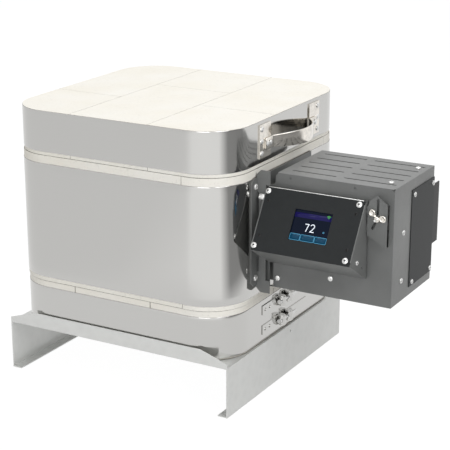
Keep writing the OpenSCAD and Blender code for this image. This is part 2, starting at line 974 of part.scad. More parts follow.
// Front, floor and left wall of the box in one folded sheet
module box_chassis() {
    color(charcoal)
        difference() {
            union() {
                translate([0, -box_front + box_t, 0])
                    facing_front()
                        linear_extrude(height = box_t)
                            panel_outline();
                translate([box_left, -box_front, box_z])
                    cube([box_w - box_t - fit, box_d - box_t - fit, box_t]);
                translate([box_left, -box_front, box_z])
                    cube([box_t, box_d - box_t - fit, box_h - box_t - fit]);
                translate([box_left, -box_front, box_top - 2 * box_t - fit])
                    cube([box_w - box_t - fit, tab_w + 4, box_t]);
                translate([box_right - 2 * box_t - fit, -box_front, box_z])
                    cube([box_t, tab_w + 24, box_h - 2 * box_t - fit]);
            }
            translate([box_left - 1, -50, box_z + 15])
                cube([box_t + 2, 70, 110]);
            translate([tongue_x - tongue_clear, -box_front - 1, panel_slot_z0])
                cube([panel_slot_w, box_t + 2, panel_slot_z1 - panel_slot_z0]);
            for (w = [wire_window, panel_slot])
                translate([w[0], -box_front - 1, w[1]])
                    cube([w[2], box_t + 2, w[3]]);
            translate([stud_x, -box_front - 1, stud_z])
                rod_y(stud_d + 2 * fit, box_t + 2);
            box_holes();
            inlet_hole();
        }
}

module inlet_hole() {
    translate([box_left + 40, inlet_y, box_z - 5])
        cylinder(d = inlet_d + 2 * fit, h = 20, $fn = small_fn);
}

// Top, right side and back of the box in one folded sheet
module box_cover() {
    color([0.42, 0.42, 0.43])
        difference() {
            union() {
                translate([box_left, -box_front + box_t + fit, box_top - box_t])
                    cube([box_w, box_d - box_t - fit, box_t]);
                translate([box_right - box_t, -box_front + box_t + fit, box_z])
                    cube([box_t, box_d - box_t - fit, box_h]);
                translate([box_left, box_back - box_t, box_z])
                    cube([box_w, box_t, box_h]);
                for (p = top_screw_xy)
                    translate([p[0] - 6, p[1] - 6, box_top - box_t - 2])
                        cube([12, 12, 2 + eps]);
            }
            for (row = [0:slot_rows - 1]) {
                y = slot_first_y + row * slot_pitch;
                vent(slot_left_x, y, slot_left_l);
                vent(slot_right_x, y, slot_right_l);
            }
            translate([box_right - 8, side_plate_y0 + 14, side_plate_z0 + 12])
                cube([10, side_plate_y1 - side_plate_y0 - 28, side_plate_z1 - side_plate_z0 - 24]);
            for (p = side_plate_yz)
                translate([box_right - box_t - 1, p[0], p[1]])
                    rod_x(screw_d + 2 * fit, box_t + 2);
            box_holes();
        }
}

module vent(x, y, l) {
    for (dx = [slot_w / 2, l - slot_w / 2])
        translate([x + dx, y, box_top - box_t - 1])
            cylinder(d = slot_w, h = box_t + 2, $fn = small_fn);
    translate([x + slot_w / 2, y - slot_w / 2, box_top - box_t - 1])
        cube([l - slot_w, slot_w, box_t + 2]);
}

module box_screws() {
    color(bright) {
        for (p = top_screw_xy)
            translate([p[0], p[1], box_top])
                screw(screw_d, 5, head_d, head_h);
        for (p = side_screw_yz)
            translate([box_right, p[0], p[1]])
                facing_x()
                    screw(screw_d, 5, head_d, head_h);
        for (p = front_screw_xz)
            translate([p[0], -box_front, p[1]])
                facing_front()
                    screw(screw_d, 5, head_d, head_h);
    }
}

module side_plate() {
    color(black)
        difference() {
            translate([box_right + fit, side_plate_y0, side_plate_z0])
                cube([side_plate_t, side_plate_y1 - side_plate_y0, side_plate_z1 - side_plate_z0]);
            for (p = side_plate_yz)
                translate([box_right - 1, p[0], p[1]])
                    rod_x(screw_d + 2 * fit, side_plate_t + 3);
        }
}

module side_plate_screws() {
    color(bright)
        for (p = side_plate_yz)
            translate([box_right + side_plate_t + fit, p[0], p[1]])
                facing_x()
                    screw(screw_d, 5, head_d, head_h - fit);
}

module heat_sink() {
    x0 = box_right - sink_l;
    pitch = (sink_l - fin_t) / (fins - 1);
    color(black)
        union() {
            translate([x0, box_back + fit, sink_z0])
                cube([sink_l, sink_base, sink_h]);
            for (i = [0:fins - 1])
                translate([x0 + i * pitch, box_back + fit, sink_z0])
                    cube([fin_t, sink_d - fit, sink_h]);
        }
}

// Electrical parts inside the box
module relay() {
    color([0.9, 0.9, 0.88])
        translate([box_right - sink_l / 2 - relay_size[0] / 2,
                box_back - box_t - fit - relay_size[1], sink_z0 + 17])
            cube(relay_size);
}

module transformer() {
    x = box_left + 14;
    y = -box_front + 26;
    color([0.55, 0.42, 0.30])
        translate([x, y, box_z + box_t + fit])
            difference() {
                cube(transformer_size);
                translate([8, -1, 8])
                    cube([8, transformer_size[1] + 2, 28]);
                translate([34, -1, 8])
                    cube([8, transformer_size[1] + 2, 28]);
            }
}

module terminal_block() {
    color([0.15, 0.15, 0.15])
        translate([box_right - block_size[0] - 12, -box_front + 30, box_z + box_t + fit])
            difference() {
                cube(block_size);
                for (i = [0:5])
                    translate([5 + i * 10, block_size[1] / 2, 5])
                        cylinder(d = 5, h = block_size[2], $fn = small_fn);
            }
}

module relay_board() {
    color([0.10, 0.40, 0.22])
        translate([box_left + 30, box_back - box_t - 42, box_z + box_t + 14]) {
            cube([board_size[0], board_size[1], board_t]);
            for (x = [4, board_size[0] - 8], y = [1, 9])
                translate([x + 2, y + 2, fit - 14])
                    cylinder(d = 4, h = 14 - fit + eps, $fn = small_fn);
            for (x = [20, 44])
                translate([x, 1, board_t - eps])
                    cube([19, 12, 15]);
        }
}

module power_inlet() {
    color([0.12, 0.12, 0.12])
        translate([box_left + 40, inlet_y, box_z]) {
            difference() {
                union() {
                    translate([0, 0, -6])
                        cylinder(d = inlet_d, h = 6 + box_t + 6, $fn = small_fn);
                    translate([0, 0, -6 - eps])
                        cylinder(d = inlet_d + 6, h = 6 - fit, $fn = small_fn);
                }
                translate([0, 0, -10])
                    cylinder(d = 9, h = 30, $fn = small_fn);
            }
        }
}

// Display pod, drawn in its own tilted frame where it lies on the face
module on_face() {
    translate([pod_x0, face_bottom[0], face_bottom[1]])
        rotate([90 - face_tilt, 0, 0])
            children();
}

module side_outline() {
    polygon([face_top, face_bottom, pod_heel, [pod_back_y, face_top[1]]]);
}

module along_x(x, l) {
    translate([x, 0, 0])
        rotate([90, 0, 90])
            linear_extrude(height = l)
                children();
}

module pod_housing() {
    sink = [0, -pod_t];
    color(charcoal)
        difference() {
            union() {
                along_x(pod_x0, pod_t)
                    side_outline();
                along_x(pod_x1 - pod_t, pod_t)
                    side_outline();
                along_x(pod_x0, pod_w)
                    polygon([plate_top, [pod_back_y, plate_top[1]], [pod_back_y, plate_top[1] - pod_t],
                        plate_top - pod_t * face_dir()]);
                along_x(pod_x0, pod_w)
                    polygon([plate_bottom, pod_heel, pod_heel - sink, plate_bottom + pod_t * face_dir()]);
                on_face()
                    for (x = [pod_t - eps, pod_w - pod_t - face_tab + eps],
                            y = [pod_t - eps, face_h - face_tab - pod_t])
                        translate([x, y, -face_t - 2])
                            cube([face_tab, face_tab, 2]);
                ear();
            }
            on_face()
                for (p = face_screw_uv)
                    translate([p[0], p[1], -face_t - 7])
                        cylinder(d = screw_d + 2 * fit, h = 8, $fn = small_fn);
            for (z = [0, face_h - corner_notch])
                on_face()
                    for (x = [-1, pod_w - pod_t - fit])
                        translate([x, z - eps, -face_t - 0.5])
                            cube([pod_t + 1 + fit, corner_notch + 2 * eps, face_t + 2]);
            for (p = [pod_screw_yz, pod_hole_yz])
                translate([pod_x1 - pod_t - 5, p[0], p[1]])
                    rod_x(screw_d + 2 * fit, pod_t + 10);
            translate([pod_x0 - 1, pod_knob_yz[0], pod_knob_yz[1]])
                rod_x(screw_d + 2 * fit, pod_t + 2);
        }
}

// Slotted ear on two short arms, with a tongue that runs in the upright slot of the front panel
module ear() {
    difference() {
        union() {
            translate([0, ear_y, 0])
                facing_front()
                    linear_extrude(height = ear_t)
                        polygon([[ear_x0, ear_bottom + ear_foot], [ear_x1 - 1, ear_bottom],
                            [ear_x1, ear_bottom + 1], [ear_x1, ear_top - ear_shoulder],
                            [ear_peak_x, ear_top], [ear_x0 + 3, ear_top - 0.7 * ear_shoulder],
                            [ear_x0, ear_top - 1.5 * ear_shoulder]]);
            translate([tongue_x, ear_y - eps, tongue_top - tongue_h])
                cube([tongue_t, ear_gap + box_t + tongue_in, tongue_h]);
            for (z = ear_arm_z)
                translate([pod_x1 - pod_t, ear_y - eps, z])
                    cube([ear_x0 - pod_x1 + pod_t + 3, ear_t, ear_arm_h]);
        }
        translate([0, ear_y + 1, 0])
            facing_front() {
                for (z = [0, ear_slot_l])
                    translate([stud_x, stud_z + z, 0])
                        cylinder(d = ear_slot_w, h = ear_t + 2, $fn = small_fn);
                translate([stud_x - ear_slot_w / 2, stud_z, 0])
                    cube([ear_slot_w, ear_slot_l, ear_t + 2]);
                translate([stud_x + slot_leg[0], stud_z + slot_leg[1], 0])
                    cylinder(d = ear_slot_w, h = ear_t + 2, $fn = small_fn);
                linear_extrude(height = ear_t + 2)
                    translate([stud_x, stud_z])
                        rotate(atan2(slot_leg[1], slot_leg[0]))
                            translate([0, -ear_slot_w / 2])
                                square([norm(slot_leg), ear_slot_w]);
            }
    }
}

pod_screw_yz = [face_bottom[0] + 20.2, face_bottom[1] - 0.9];
pod_hole_yz = [face_bottom[0] + 34.8, face_bottom[1] - 11.3];
pod_knob_yz = [face_top[0] - 3.5, face_top[1] - 13.4];
knob_h = 8;

module pod_side_screws() {
    color(bright) {
        translate([pod_x1, pod_screw_yz[0], pod_screw_yz[1]])
            facing_x()
                screw(screw_d, 5, head_d, head_h);
        translate([pod_x0, pod_knob_yz[0], pod_knob_yz[1]])
            mirror([1, 0, 0])
                facing_x()
                    screw(screw_d, 3, head_d, knob_h);
    }
}

module face_plate() {
    color(black)
        on_face()
            difference() {
                translate([face_inset_x, 0, -face_t])
                    cube([pod_w - 2 * face_inset_x, face_h, face_t]);
                translate([screen_x, screen_y, -face_t - 1])
                    cube([screen_w, screen_h, face_t + 2]);
                for (p = face_screw_uv)
                    translate([p[0], p[1], -face_t - 1])
                        cylinder(d = screw_d + 2 * fit, h = face_t + 2, $fn = small_fn);
                for (p = board_screw_uv)
                    translate([p[0], p[1], -face_t - 1])
                        cylinder(d = screw_d - 0.5 + 2 * fit, h = face_t + 2, $fn = small_fn);
            }
}

module display_window() {
    color([0.05, 0.08, 0.20])
        on_face()
            translate([screen_x - glass_rim, screen_y - glass_rim, -face_t - glass_t])
                cube([screen_w + 2 * glass_rim, screen_h + 2 * glass_rim, glass_t]);
}

module display_board() {
    color([0.10, 0.40, 0.22])
        on_face()
            difference() {
                union() {
                    translate([6, 13, -face_t - board_depth])
                        cube([pod_w - 12, face_h - 26, board_t]);
                    translate([screen_x, screen_y, -face_t - board_depth + board_t - eps])
                        cube([screen_w, screen_h, board_depth - board_t - glass_t + eps]);
                    for (p = board_screw_uv)
                        translate([p[0], p[1], -face_t - board_depth])
                            cylinder(d = boss_d, h = board_depth, $fn = small_fn);
                }
                for (p = board_screw_uv)
                    translate([p[0], p[1], -face_t - board_depth - 1])
                        cylinder(d = screw_d - 0.5 + 2 * fit, h = board_depth + 2, $fn = small_fn);
            }
}

module face_screws() {
    color(bright)
        on_face()
            for (p = face_screw_uv)
                translate([p[0], p[1], 0])
                    screw(screw_d, 5, head_d + 1, head_h);
}

module board_screws() {
    color(black)
        on_face()
            for (p = board_screw_uv)
                translate([p[0], p[1], 0])
                    screw(screw_d - 0.5, 6, head_d - 2, 0.8);
}

module clamp_stud() {
    color(bright)
        translate([stud_x, -box_front, stud_z]) {
            translate([0, stud_end + box_front, 0])
                rod_y(stud_d, box_t + 1 - stud_end - box_front);
            translate([0, -ear_gap + fit, 0])
                rod_y(collar_d, ear_gap - 2 * fit);
        }
}

module wing_nut() {
    color(bright)
        translate([stud_x, nut_y, stud_z])
            facing_front()
                difference() {
                    union() {
                        cylinder(d1 = nut_hub_d, d2 = nut_hub_d - 1.5, h = nut_hub_h, $fn = small_fn);
                        translate([0, 0, nut_hub_h - lobe_t])
                            for (c = lobe_xz) {
                                translate(c)
                                    cylinder(d = lobe_d, h = lobe_t, $fn = small_fn);
                                rotate(atan2(c[1], c[0]))
                                    translate([0, -lobe_neck / 2])
                                        cube([norm(c), lobe_neck, lobe_t]);
                            }
                    }
                    translate([0, 0, -1])
                        cylinder(d = stud_d + 2 * fit, h = nut_hub_h + 2, $fn = small_fn);
                }
}

// Each node is placed with the origin under the middle of the whole object
module place() {
    translate(shift)
        children();
}

place() stand();
place() floor_bricks();
place() floor_band();
place() floor_clamp_straps();
place() floor_clamp_trunnions();
place() floor_clamp_bolts();
place() chamber_brick_front();
place() chamber_brick_right();
place() chamber_brick_back();
place() chamber_brick_left();
place() chamber_band();
place() chamber_clamp_straps();
place() chamber_clamp_trunnions();
place() chamber_clamp_bolts();
place() element_lower();
place() element_upper();
place() tail_bushings();
place() tail_terminals();
place() thermocouple();
place() thermocouple_block();
place() mount_channel();
place() mount_screws();
place() box_chassis();
place() box_cover();
place() box_screws();
place() side_plate();
place() side_plate_screws();
place() heat_sink();
place() relay();
place() transformer();
place() terminal_block();
place() relay_board();
place() power_inlet();
place() clamp_stud();
place() wing_nut();
place() pod_housing();
place() face_plate();
place() display_window();
place() display_board();
place() face_screws();
place() board_screws();
place() pod_side_screws();
place() lid_bricks();
place() lid_band();
place() lid_clamp_straps();
place() lid_clamp_trunnions();
place() lid_clamp_bolts();
place() handle_plates();
place() handle_grip_right();
place() handle_grip_left();
place() handle_rivets();
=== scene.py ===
# Looks of the bench top annealing kiln: finishes, lights, camera and the fine pieces that the
# construction model leaves plain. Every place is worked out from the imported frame, in metres.
import json
import math
import random

import bmesh
import bpy
from mathutils import Matrix, Vector


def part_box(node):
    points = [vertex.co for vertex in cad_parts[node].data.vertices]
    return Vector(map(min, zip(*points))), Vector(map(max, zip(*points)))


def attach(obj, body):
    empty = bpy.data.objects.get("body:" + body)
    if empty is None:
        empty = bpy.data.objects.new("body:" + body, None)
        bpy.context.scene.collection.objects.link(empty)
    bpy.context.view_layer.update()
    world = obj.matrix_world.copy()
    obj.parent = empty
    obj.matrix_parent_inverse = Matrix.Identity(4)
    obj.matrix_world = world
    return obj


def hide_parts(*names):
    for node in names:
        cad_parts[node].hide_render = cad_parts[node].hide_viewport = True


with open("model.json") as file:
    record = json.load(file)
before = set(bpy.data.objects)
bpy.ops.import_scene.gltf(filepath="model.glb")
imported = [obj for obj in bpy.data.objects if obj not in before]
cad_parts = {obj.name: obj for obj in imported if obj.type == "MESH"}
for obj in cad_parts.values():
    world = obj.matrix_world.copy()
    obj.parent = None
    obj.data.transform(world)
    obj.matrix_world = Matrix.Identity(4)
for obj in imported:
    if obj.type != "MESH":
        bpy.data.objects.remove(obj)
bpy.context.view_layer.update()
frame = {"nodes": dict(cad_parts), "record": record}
MM = 0.001
NODES = frame["nodes"]

# Camera of the photograph, measured from the middle of the kiln
CAMERA_AT = Vector((0.9535, -1.5582, 0.7600))
CAMERA_YAW = math.radians(29.39)
CAMERA_PITCH = math.radians(17.70)
CAMERA_LENS = 112.05
CAMERA_SHIFT = (-0.0096, 0.0070)

# Middle of the kiln in plan
band_low, band_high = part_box("chamber_band")
KILN = Vector(((band_low.x + band_high.x) / 2, (band_low.y + band_high.y) / 2, 0))


# Small mesh tools

def new_object(name, mesh, material, body, replaces=(), smooth=35):
    """Links a mesh as an object with its material and body, and hides the nodes it stands for."""
    obj = bpy.data.objects.new(name, mesh)
    bpy.context.scene.collection.objects.link(obj)
    mesh.materials.append(material)
    mesh.shade_smooth()
    if smooth:
        mesh.set_sharp_from_angle(angle=math.radians(smooth))
    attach(obj, body)
    if replaces:
        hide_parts(*replaces)
    return obj


def mesh_from(bm, name):
    bmesh.ops.recalc_face_normals(bm, faces=bm.faces)
    mesh = bpy.data.meshes.new(name)
    bm.to_mesh(mesh)
    bm.free()
    return mesh


def lathe(bm, profile, segments, matrix):
    """Turns (radius, height) pairs about Z; a radius of 0 closes the form."""
    rings = []
    for radius, height in profile:
        if radius == 0:
            rings.append([bm.verts.new(matrix @ Vector((0, 0, height)))])
            continue
        rings.append([
            bm.verts.new(matrix @ Vector((
                radius * math.cos(2 * math.pi * k / segments),
                radius * math.sin(2 * math.pi * k / segments),
                height)))
            for k in range(segments)])
    for a, b in zip(rings[:-1], rings[1:]):
        for k in range(segments):
            corners = [a[k % len(a)], a[(k + 1) % segments % len(a)],
                       b[(k + 1) % segments % len(b)], b[k % len(b)]]
            unique = list(dict.fromkeys(corners))
            if len(unique) > 2:
                bm.faces.new(unique)


def facing(direction, place):
    """Matrix that turns +Z to a direction and moves to a place."""
    return Matrix.Translation(place) @ direction.to_track_quat("Z", "Y").to_matrix().to_4x4()


def solids_of(node):
    """The loose solids of a CAD node as (centre, lowest corner, highest corner)."""
    bm = bmesh.new()
    bm.from_mesh(NODES[node].data)
    bmesh.ops.remove_doubles(bm, verts=bm.verts, dist=1e-6)
    left = set(bm.verts)
    found = []
    while left:
        seed = left.pop()
        group = [seed]
        queue = [seed]
        while queue:
            v = queue.pop()
            for e in v.link_edges:
                other = e.other_vert(v)
                if other in left:
                    left.remove(other)
                    group.append(other)
                    queue.append(other)
        low = Vector([min(v.co[i] for v in group) for i in range(3)])
        high = Vector([max(v.co[i] for v in group) for i in range(3)])
        found.append(((low + high) / 2, low, high))
    bm.free()
    return sorted(found, key=lambda s: tuple(round(c, 4) for c in s[0]))


# Materials

def shader(name, colour, roughness, metallic=0.0, specular=0.5):
    """A new node material, with its tree and its main shader."""
    material = bpy.data.materials.new(name)
    material.use_nodes = True
    tree = material.node_tree
    bsdf = tree.nodes["Principled BSDF"]
    bsdf.inputs["Base Color"].default_value = (*colour, 1)
    bsdf.inputs["Roughness"].default_value = roughness
    bsdf.inputs["Metallic"].default_value = metallic
    bsdf.inputs["Specular IOR Level"].default_value = specular
    return material, tree, bsdf


def add(tree, kind, **values):
    node = tree.nodes.new(kind)
    for key, value in values.items():
        if key in node.inputs:
            node.inputs[key].default_value = value
        else:
            setattr(node, key, value)
    return node


def noise(tree, scale, detail=4.0, roughness=0.55, stretch=(1, 1, 1)):
    """Noise on the object's own coordinates; scale is in features per metre."""
    coords = tree.nodes.new("ShaderNodeTexCoord")
    mapping = add(tree, "ShaderNodeMapping")
    mapping.inputs["Scale"].default_value = stretch
    tex = add(tree, "ShaderNodeTexNoise", Scale=scale, Detail=detail, Roughness=roughness)
    tree.links.new(coords.outputs["Object"], mapping.inputs["Vector"])
    tree.links.new(mapping.outputs["Vector"], tex.inputs["Vector"])
    return tex.outputs["Fac"]


def ramp(tree, value, stops):
    """A colour ramp through (position, colour) stops."""
    node = tree.nodes.new("ShaderNodeValToRGB")
    elements = node.color_ramp.elements
    while len(elements) < len(stops):
        elements.new(0.5)
    for element, (position, colour) in zip(elements, stops):
        element.position = position
        element.color = (*colour, 1)
    tree.links.new(value, node.inputs["Fac"])
    return node.outputs["Color"]


def map_range(tree, value, before, after):
    """A value carried from one range to another."""
    node = add(tree, "ShaderNodeMapRange")
    ends = (*before, *after)
    for name, end in zip(("From Min", "From Max", "To Min", "To Max"), ends):
        node.inputs[name].default_value = end
    tree.links.new(value, node.inputs["Value"])
    return node.outputs["Result"]


def grey(level):
    return (level, level, level)


def bump(tree, bsdf, value, depth, strength=0.5):
    """Bump of a height in metres; several are chained."""
    node = add(tree, "ShaderNodeBump", Strength=strength, Distance=depth)
    tree.links.new(value, node.inputs["Height"])
    before = bsdf.inputs["Normal"].links
    if before:
        tree.links.new(before[0].from_socket, node.inputs["Normal"])
    tree.links.new(node.outputs["Normal"], bsdf.inputs["Normal"])


def multiply(tree, first, second, share):
    """First colour, darkened by a share of the second."""
    mix = add(tree, "ShaderNodeMix", data_type="RGBA", blend_type="MULTIPLY")
    mix.inputs["Factor"].default_value = share
    tree.links.new(first, mix.inputs["A"])
    tree.links.new(second, mix.inputs["B"])
    return mix.outputs["Result"]


def make_brick():
    """Pale insulating fire brick: fine pores, a soft grain and painted shade, darker in the grooves and
    gaps where two bricks meet.
    """
    material, tree, bsdf = shader("fire_brick", (0.91, 0.885, 0.825), 0.92)
    cloud = noise(tree, 14, 5)
    grain = noise(tree, 900, 3, 0.7)
    pores = noise(tree, 420, 2, 0.4)
    colour = ramp(tree, cloud, [(0.30, (0.890, 0.858, 0.780)), (0.66, (0.915, 0.893, 0.838))])
    specks = ramp(tree, pores, [(0.30, grey(0.62)), (0.37, grey(1.0))])
    # Painted shade: ambient occlusion darkens the brick colour in grooves and narrow gaps, where bricks
    # meet each other or other parts.
    corners = add(tree, "ShaderNodeAmbientOcclusion", samples=8, Distance=4 * MM)
    painted_gap_shade = ramp(tree, corners.outputs["AO"], [(0.50, (0.10, 0.085, 0.065)), (0.86, grey(1.0))])
    pored = multiply(tree, colour, specks, 0.22)
    tree.links.new(multiply(tree, pored, painted_gap_shade, 1.0), bsdf.inputs["Base Color"])
    bump(tree, bsdf, grain, 0.0004, 0.30)
    bump(tree, bsdf, specks, 0.0005, 0.4)
    return material


def make_polished(name, colour, roughness):
    """Polished sheet with a faint rolling grain and handling haze."""
    material, tree, bsdf = shader(name, colour, roughness, 1.0)
    haze = noise(tree, 9, 4)
    lines = noise(tree, 60, 3, 0.6, (1, 1, 22))
    rough = map_range(tree, haze, (0.3, 0.7), (roughness * 0.7, roughness * 1.5))
    tree.links.new(rough, bsdf.inputs["Roughness"])
    bump(tree, bsdf, lines, 0.00002, 0.25)
    return material


def make_powder(name, colour, rough=0.55):
    """Textured powder coat: a fine orange peel with a slight tone change."""
    material, tree, bsdf = shader(name, colour, rough)
    peel = noise(tree, 1100, 2, 0.5)
    tone = noise(tree, 14, 4)
    lighter = [min(1, c * 1.16) for c in colour]
    darker = [c * 0.88 for c in colour]
    tree.links.new(ramp(tree, tone, [(0.3, darker), (0.7, lighter)]), bsdf.inputs["Base Color"])
    bump(tree, bsdf, peel, 0.00025, 0.45)
    return material


def make_galvanised():
    material, tree, bsdf = shader("galvanised", (0.70, 0.705, 0.69), 0.42, 0.35)
    coords = tree.nodes.new("ShaderNodeTexCoord")
    cells = add(tree, "ShaderNodeTexVoronoi", Scale=90)
    tree.links.new(coords.outputs["Object"], cells.inputs["Vector"])
    tone = ramp(tree, cells.outputs["Distance"], [(0.0, (0.69, 0.695, 0.68)), (0.8, (0.73, 0.735, 0.72))])
    tree.links.new(tone, bsdf.inputs["Base Color"])
    bump(tree, bsdf, noise(tree, 260, 3), 0.00003, 0.25)
    return material


def make_plain(name, colour, rough, metallic=0.0, grain=700, depth=0.00008, specular=0.5):
    """Small part finish: slight tone change and a fine grain."""
    material, tree, bsdf = shader(name, colour, rough, metallic, specular)
    tone = noise(tree, 120, 3)
    darker = [c * 0.86 for c in colour]
    lighter = [min(1, c * 1.08) for c in colour]
    tree.links.new(ramp(tree, tone, [(0.3, darker), (0.7, lighter)]), bsdf.inputs["Base Color"])
    bump(tree, bsdf, noise(tree, grain, 3), depth, 0.4)
    return material


def make_glow(name, colour, strength, rough=0.15):
    """Lit part of the display behind a smooth glass with little gloss."""
    material, tree, bsdf = shader(name, [c * 0.3 for c in colour], rough, 0.0, 0.12)
    bsdf.inputs["Emission Color"].default_value = (*colour, 1)
    bsdf.inputs["Emission Strength"].default_value = strength
    darker = [c * 0.27 for c in colour]
    lighter = [c * 0.33 for c in colour]
    tone = noise(tree, 1600, 1)
    tree.links.new(ramp(tree, tone, [(0.3, darker), (0.7, lighter)]), bsdf.inputs["Base Color"])
    return material


MATERIALS = {
    "firebrick": make_brick(),
    "stainless": make_polished("stainless", (0.56, 0.555, 0.54), 0.09),
    "galvanised": make_galvanised(),
    "bright_steel": make_plain("bright_steel", (0.80, 0.80, 0.79), 0.26, 0.65),
    "heating_wire": make_plain("heating_wire", (0.20, 0.18, 0.17), 0.62, 0.7),
    "porcelain": make_plain("porcelain", (0.86, 0.84, 0.79), 0.35),
    "brass": make_plain("brass", (0.80, 0.60, 0.26), 0.28, 1.0),
    "probe_sheath": make_plain("probe_sheath", (0.78, 0.74, 0.66), 0.6),
    "charcoal_coat": make_powder("charcoal_coat", (0.150, 0.154, 0.152), 0.46),
    "cover_coat": make_powder("cover_coat", (0.185, 0.188, 0.186), 0.42),
    "black_panel": make_plain("black_panel", (0.010, 0.012, 0.013), 0.45, specular=0.30),
    "black_anodised": make_plain("black_anodised", (0.03, 0.03, 0.031), 0.45, 0.6),
    "relay_case": make_plain("relay_case", (0.75, 0.74, 0.70), 0.4),
    "transformer_core": make_plain("transformer_core", (0.30, 0.22, 0.13), 0.5, 0.3),
    "black_plastic": make_plain("black_plastic", (0.03, 0.03, 0.03), 0.5),
    "circuit_board": make_plain("circuit_board", (0.03, 0.22, 0.09), 0.35),
    "screen_glass": make_glow("screen_glass", (0.002, 0.006, 0.020), 0.6),
    "black_screw": make_plain("black_screw", (0.03, 0.03, 0.03), 0.35, 0.8),
    "nickel": make_plain("nickel", (0.78, 0.745, 0.69), 0.13, 1.0, 200, 0.00004),
}
SLOT_OF = {row["node"]: row["material_slot"] for row in frame["record"]["subparts"]}
BODY_OF = {node: body for body, nodes in frame["record"]["behaviour"]["bodies"].items() for node in nodes}


# Sharp edges of the CAD nodes get a small round, as folded sheet and cut brick have

EDGE_ROUND = {
    "firebrick": 0.8, "galvanised": 0.5, "charcoal_coat": 0.5, "cover_coat": 0.5,
    "black_panel": 0.3, "black_anodised": 0.25, "porcelain": 0.5, "relay_case": 0.8,
}
NODE_ROUND = {"chamber_brick_" + side: 1.3 for side in ("front", "right", "back", "left")}
NODE_ROUND["lid_bricks"] = 1.1


def dress_node(name, obj):
    slot = SLOT_OF[name]
    mesh = obj.data
    mesh.materials.clear()
    mesh.materials.append(MATERIALS[slot])
    if "custom_normal" in mesh.attributes:
        mesh.attributes.remove(mesh.attributes["custom_normal"])
    mesh.shade_smooth()
    mesh.set_sharp_from_angle(angle=math.radians(30))
    if slot not in EDGE_ROUND:
        return
    weld = obj.modifiers.new("weld", "WELD")
    weld.merge_threshold = 1e-6
    flat = obj.modifiers.new("flat", "DECIMATE")
    flat.decimate_type = "DISSOLVE"
    flat.angle_limit = math.radians(1)
    edge = obj.modifiers.new("edge", "BEVEL")
    edge.width = NODE_ROUND.get(name, EDGE_ROUND[slot]) * MM
    edge.segments = 2
    edge.limit_method = "ANGLE"
    edge.angle_limit = math.radians(40)
    edge.harden_normals = True


for node_name, node_object in NODES.items():
    dress_node(node_name, node_object)


# Polished bands: rounded square rings of thin sheet with a slightly uneven surface

def rounded_square(half, radius, arc_steps, side_steps):
    """Points and outward directions round a rounded square, counter clockwise."""
    points = []
    straight = half - radius
    for quarter in range(4):
        turn = Matrix.Rotation(quarter * math.pi / 2, 3, "Z")
        for k in range(side_steps):
            at = Vector((half, -straight + 2 * straight * k / side_steps, 0))
            points.append((turn @ at, turn @ Vector((1, 0, 0))))
        for k in range(arc_steps):
            angle = math.pi / 2 * k / arc_steps
            out = Vector((math.cos(angle), math.sin(angle), 0))
            points.append((turn @ (Vector((straight, straight, 0)) + radius * out), turn @ out))
    return points


BAND_THICK = 0.6 * MM
BAND_HEM = 0.25 * MM
BAND_WAVE = 0.12 * MM
BAND_LEVELS = 14
BAND_ARC_STEPS = 28
BAND_SIDE_STEPS = 26


def band_piece(node, radius, body, seed):
    low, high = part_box(node)
    half = (high.x - low.x) / 2
    height = high.z - low.z
    rows = [0, BAND_HEM, 3 * BAND_HEM]
    levels = [low.z + r for r in rows]
    levels += [low.z + height * k / BAND_LEVELS for k in range(1, BAND_LEVELS)]
    levels += [high.z - r for r in reversed(rows)]
    hem = [BAND_HEM, BAND_HEM * 0.3]
    inset = hem + [0] * (len(levels) - 4) + hem[::-1]
    ring = rounded_square(half, radius, BAND_ARC_STEPS, BAND_SIDE_STEPS)
    bm = bmesh.new()

    def uneven(at, z):
        """Slow waves, about 200 mm long round the sheet and 70 mm up it, always inward."""
        a = 0.5 + 0.5 * math.sin(at.x * 31 + seed) * math.cos(at.y * 27 - seed)
        b = 0.5 + 0.5 * math.sin(z * 90 + at.x * 12 + at.y * 9 + seed)
        return -BAND_WAVE * (0.6 * a + 0.4 * b)

    rings = []
    for z, cut in zip(levels, inset):
        rings.append([bm.verts.new(KILN + at + out * (uneven(at, z) - cut) + Vector((0, 0, z)))
                      for at, out in ring])
    inner = [[bm.verts.new(KILN + at - out * BAND_THICK + Vector((0, 0, z))) for at, out in ring]
             for z in (levels[0], levels[-1])]
    loops = [inner[0]] + rings + [inner[1], inner[0]]
    count = len(ring)
    for a, b in zip(loops[:-1], loops[1:]):
        for k in range(count):
            n = (k + 1) % count
            bm.faces.new((a[k], a[n], b[n], b[k]))
    return new_object(node + "_sheet", mesh_from(bm, node + "_sheet"), MATERIALS["stainless"], body,
                      (node,), 50)


CORNER = 58 * MM
STEP_IN = 0.8 * MM
band_piece("floor_band", CORNER - STEP_IN, "root", 0.4)
band_piece("chamber_band", CORNER, "root", 1.7)
band_piece("lid_band", CORNER - STEP_IN, "lid", 3.1)


# Screws with a domed head and a cross or socket recess, in shares of the head's radius and height

CROSS_ARM = 0.58
CROSS_HALF_WIDTH = 0.13
CROSS_DEPTH = 0.35
SOCKET_REACH = 0.42
SOCKET_DEPTH = 0.5
DOME_RIM = 0.35
SHANK_RADIUS = 1.3 * MM
FACE_SHANK_RADIUS = 1.2 * MM
POD_SHANK_LENGTH = 5 * MM


def recess_depth(x, y, radius, kind):
    """Depth of a cross or of a round socket in a screw's head."""
    arm = radius * CROSS_ARM
    width = radius * CROSS_HALF_WIDTH
    if kind == "cross" and (abs(x) < width and abs(y) < arm or abs(y) < width and abs(x) < arm):
        return radius * CROSS_DEPTH
    if kind == "socket" and math.hypot(x, y) < radius * SOCKET_REACH:
        return radius * SOCKET_DEPTH
    return 0.0


def shank(bm, matrix, radius, length):
    """Plain shank below the seat of a head."""
    lathe(bm, [(0, -length), (radius, -length), (radius, 0), (0, 0)], 16, matrix)


def in_mm(*pairs):
    """Profile of (radius, height) pairs given in millimetres."""
    return [(radius * MM, height * MM) for radius, height in pairs]


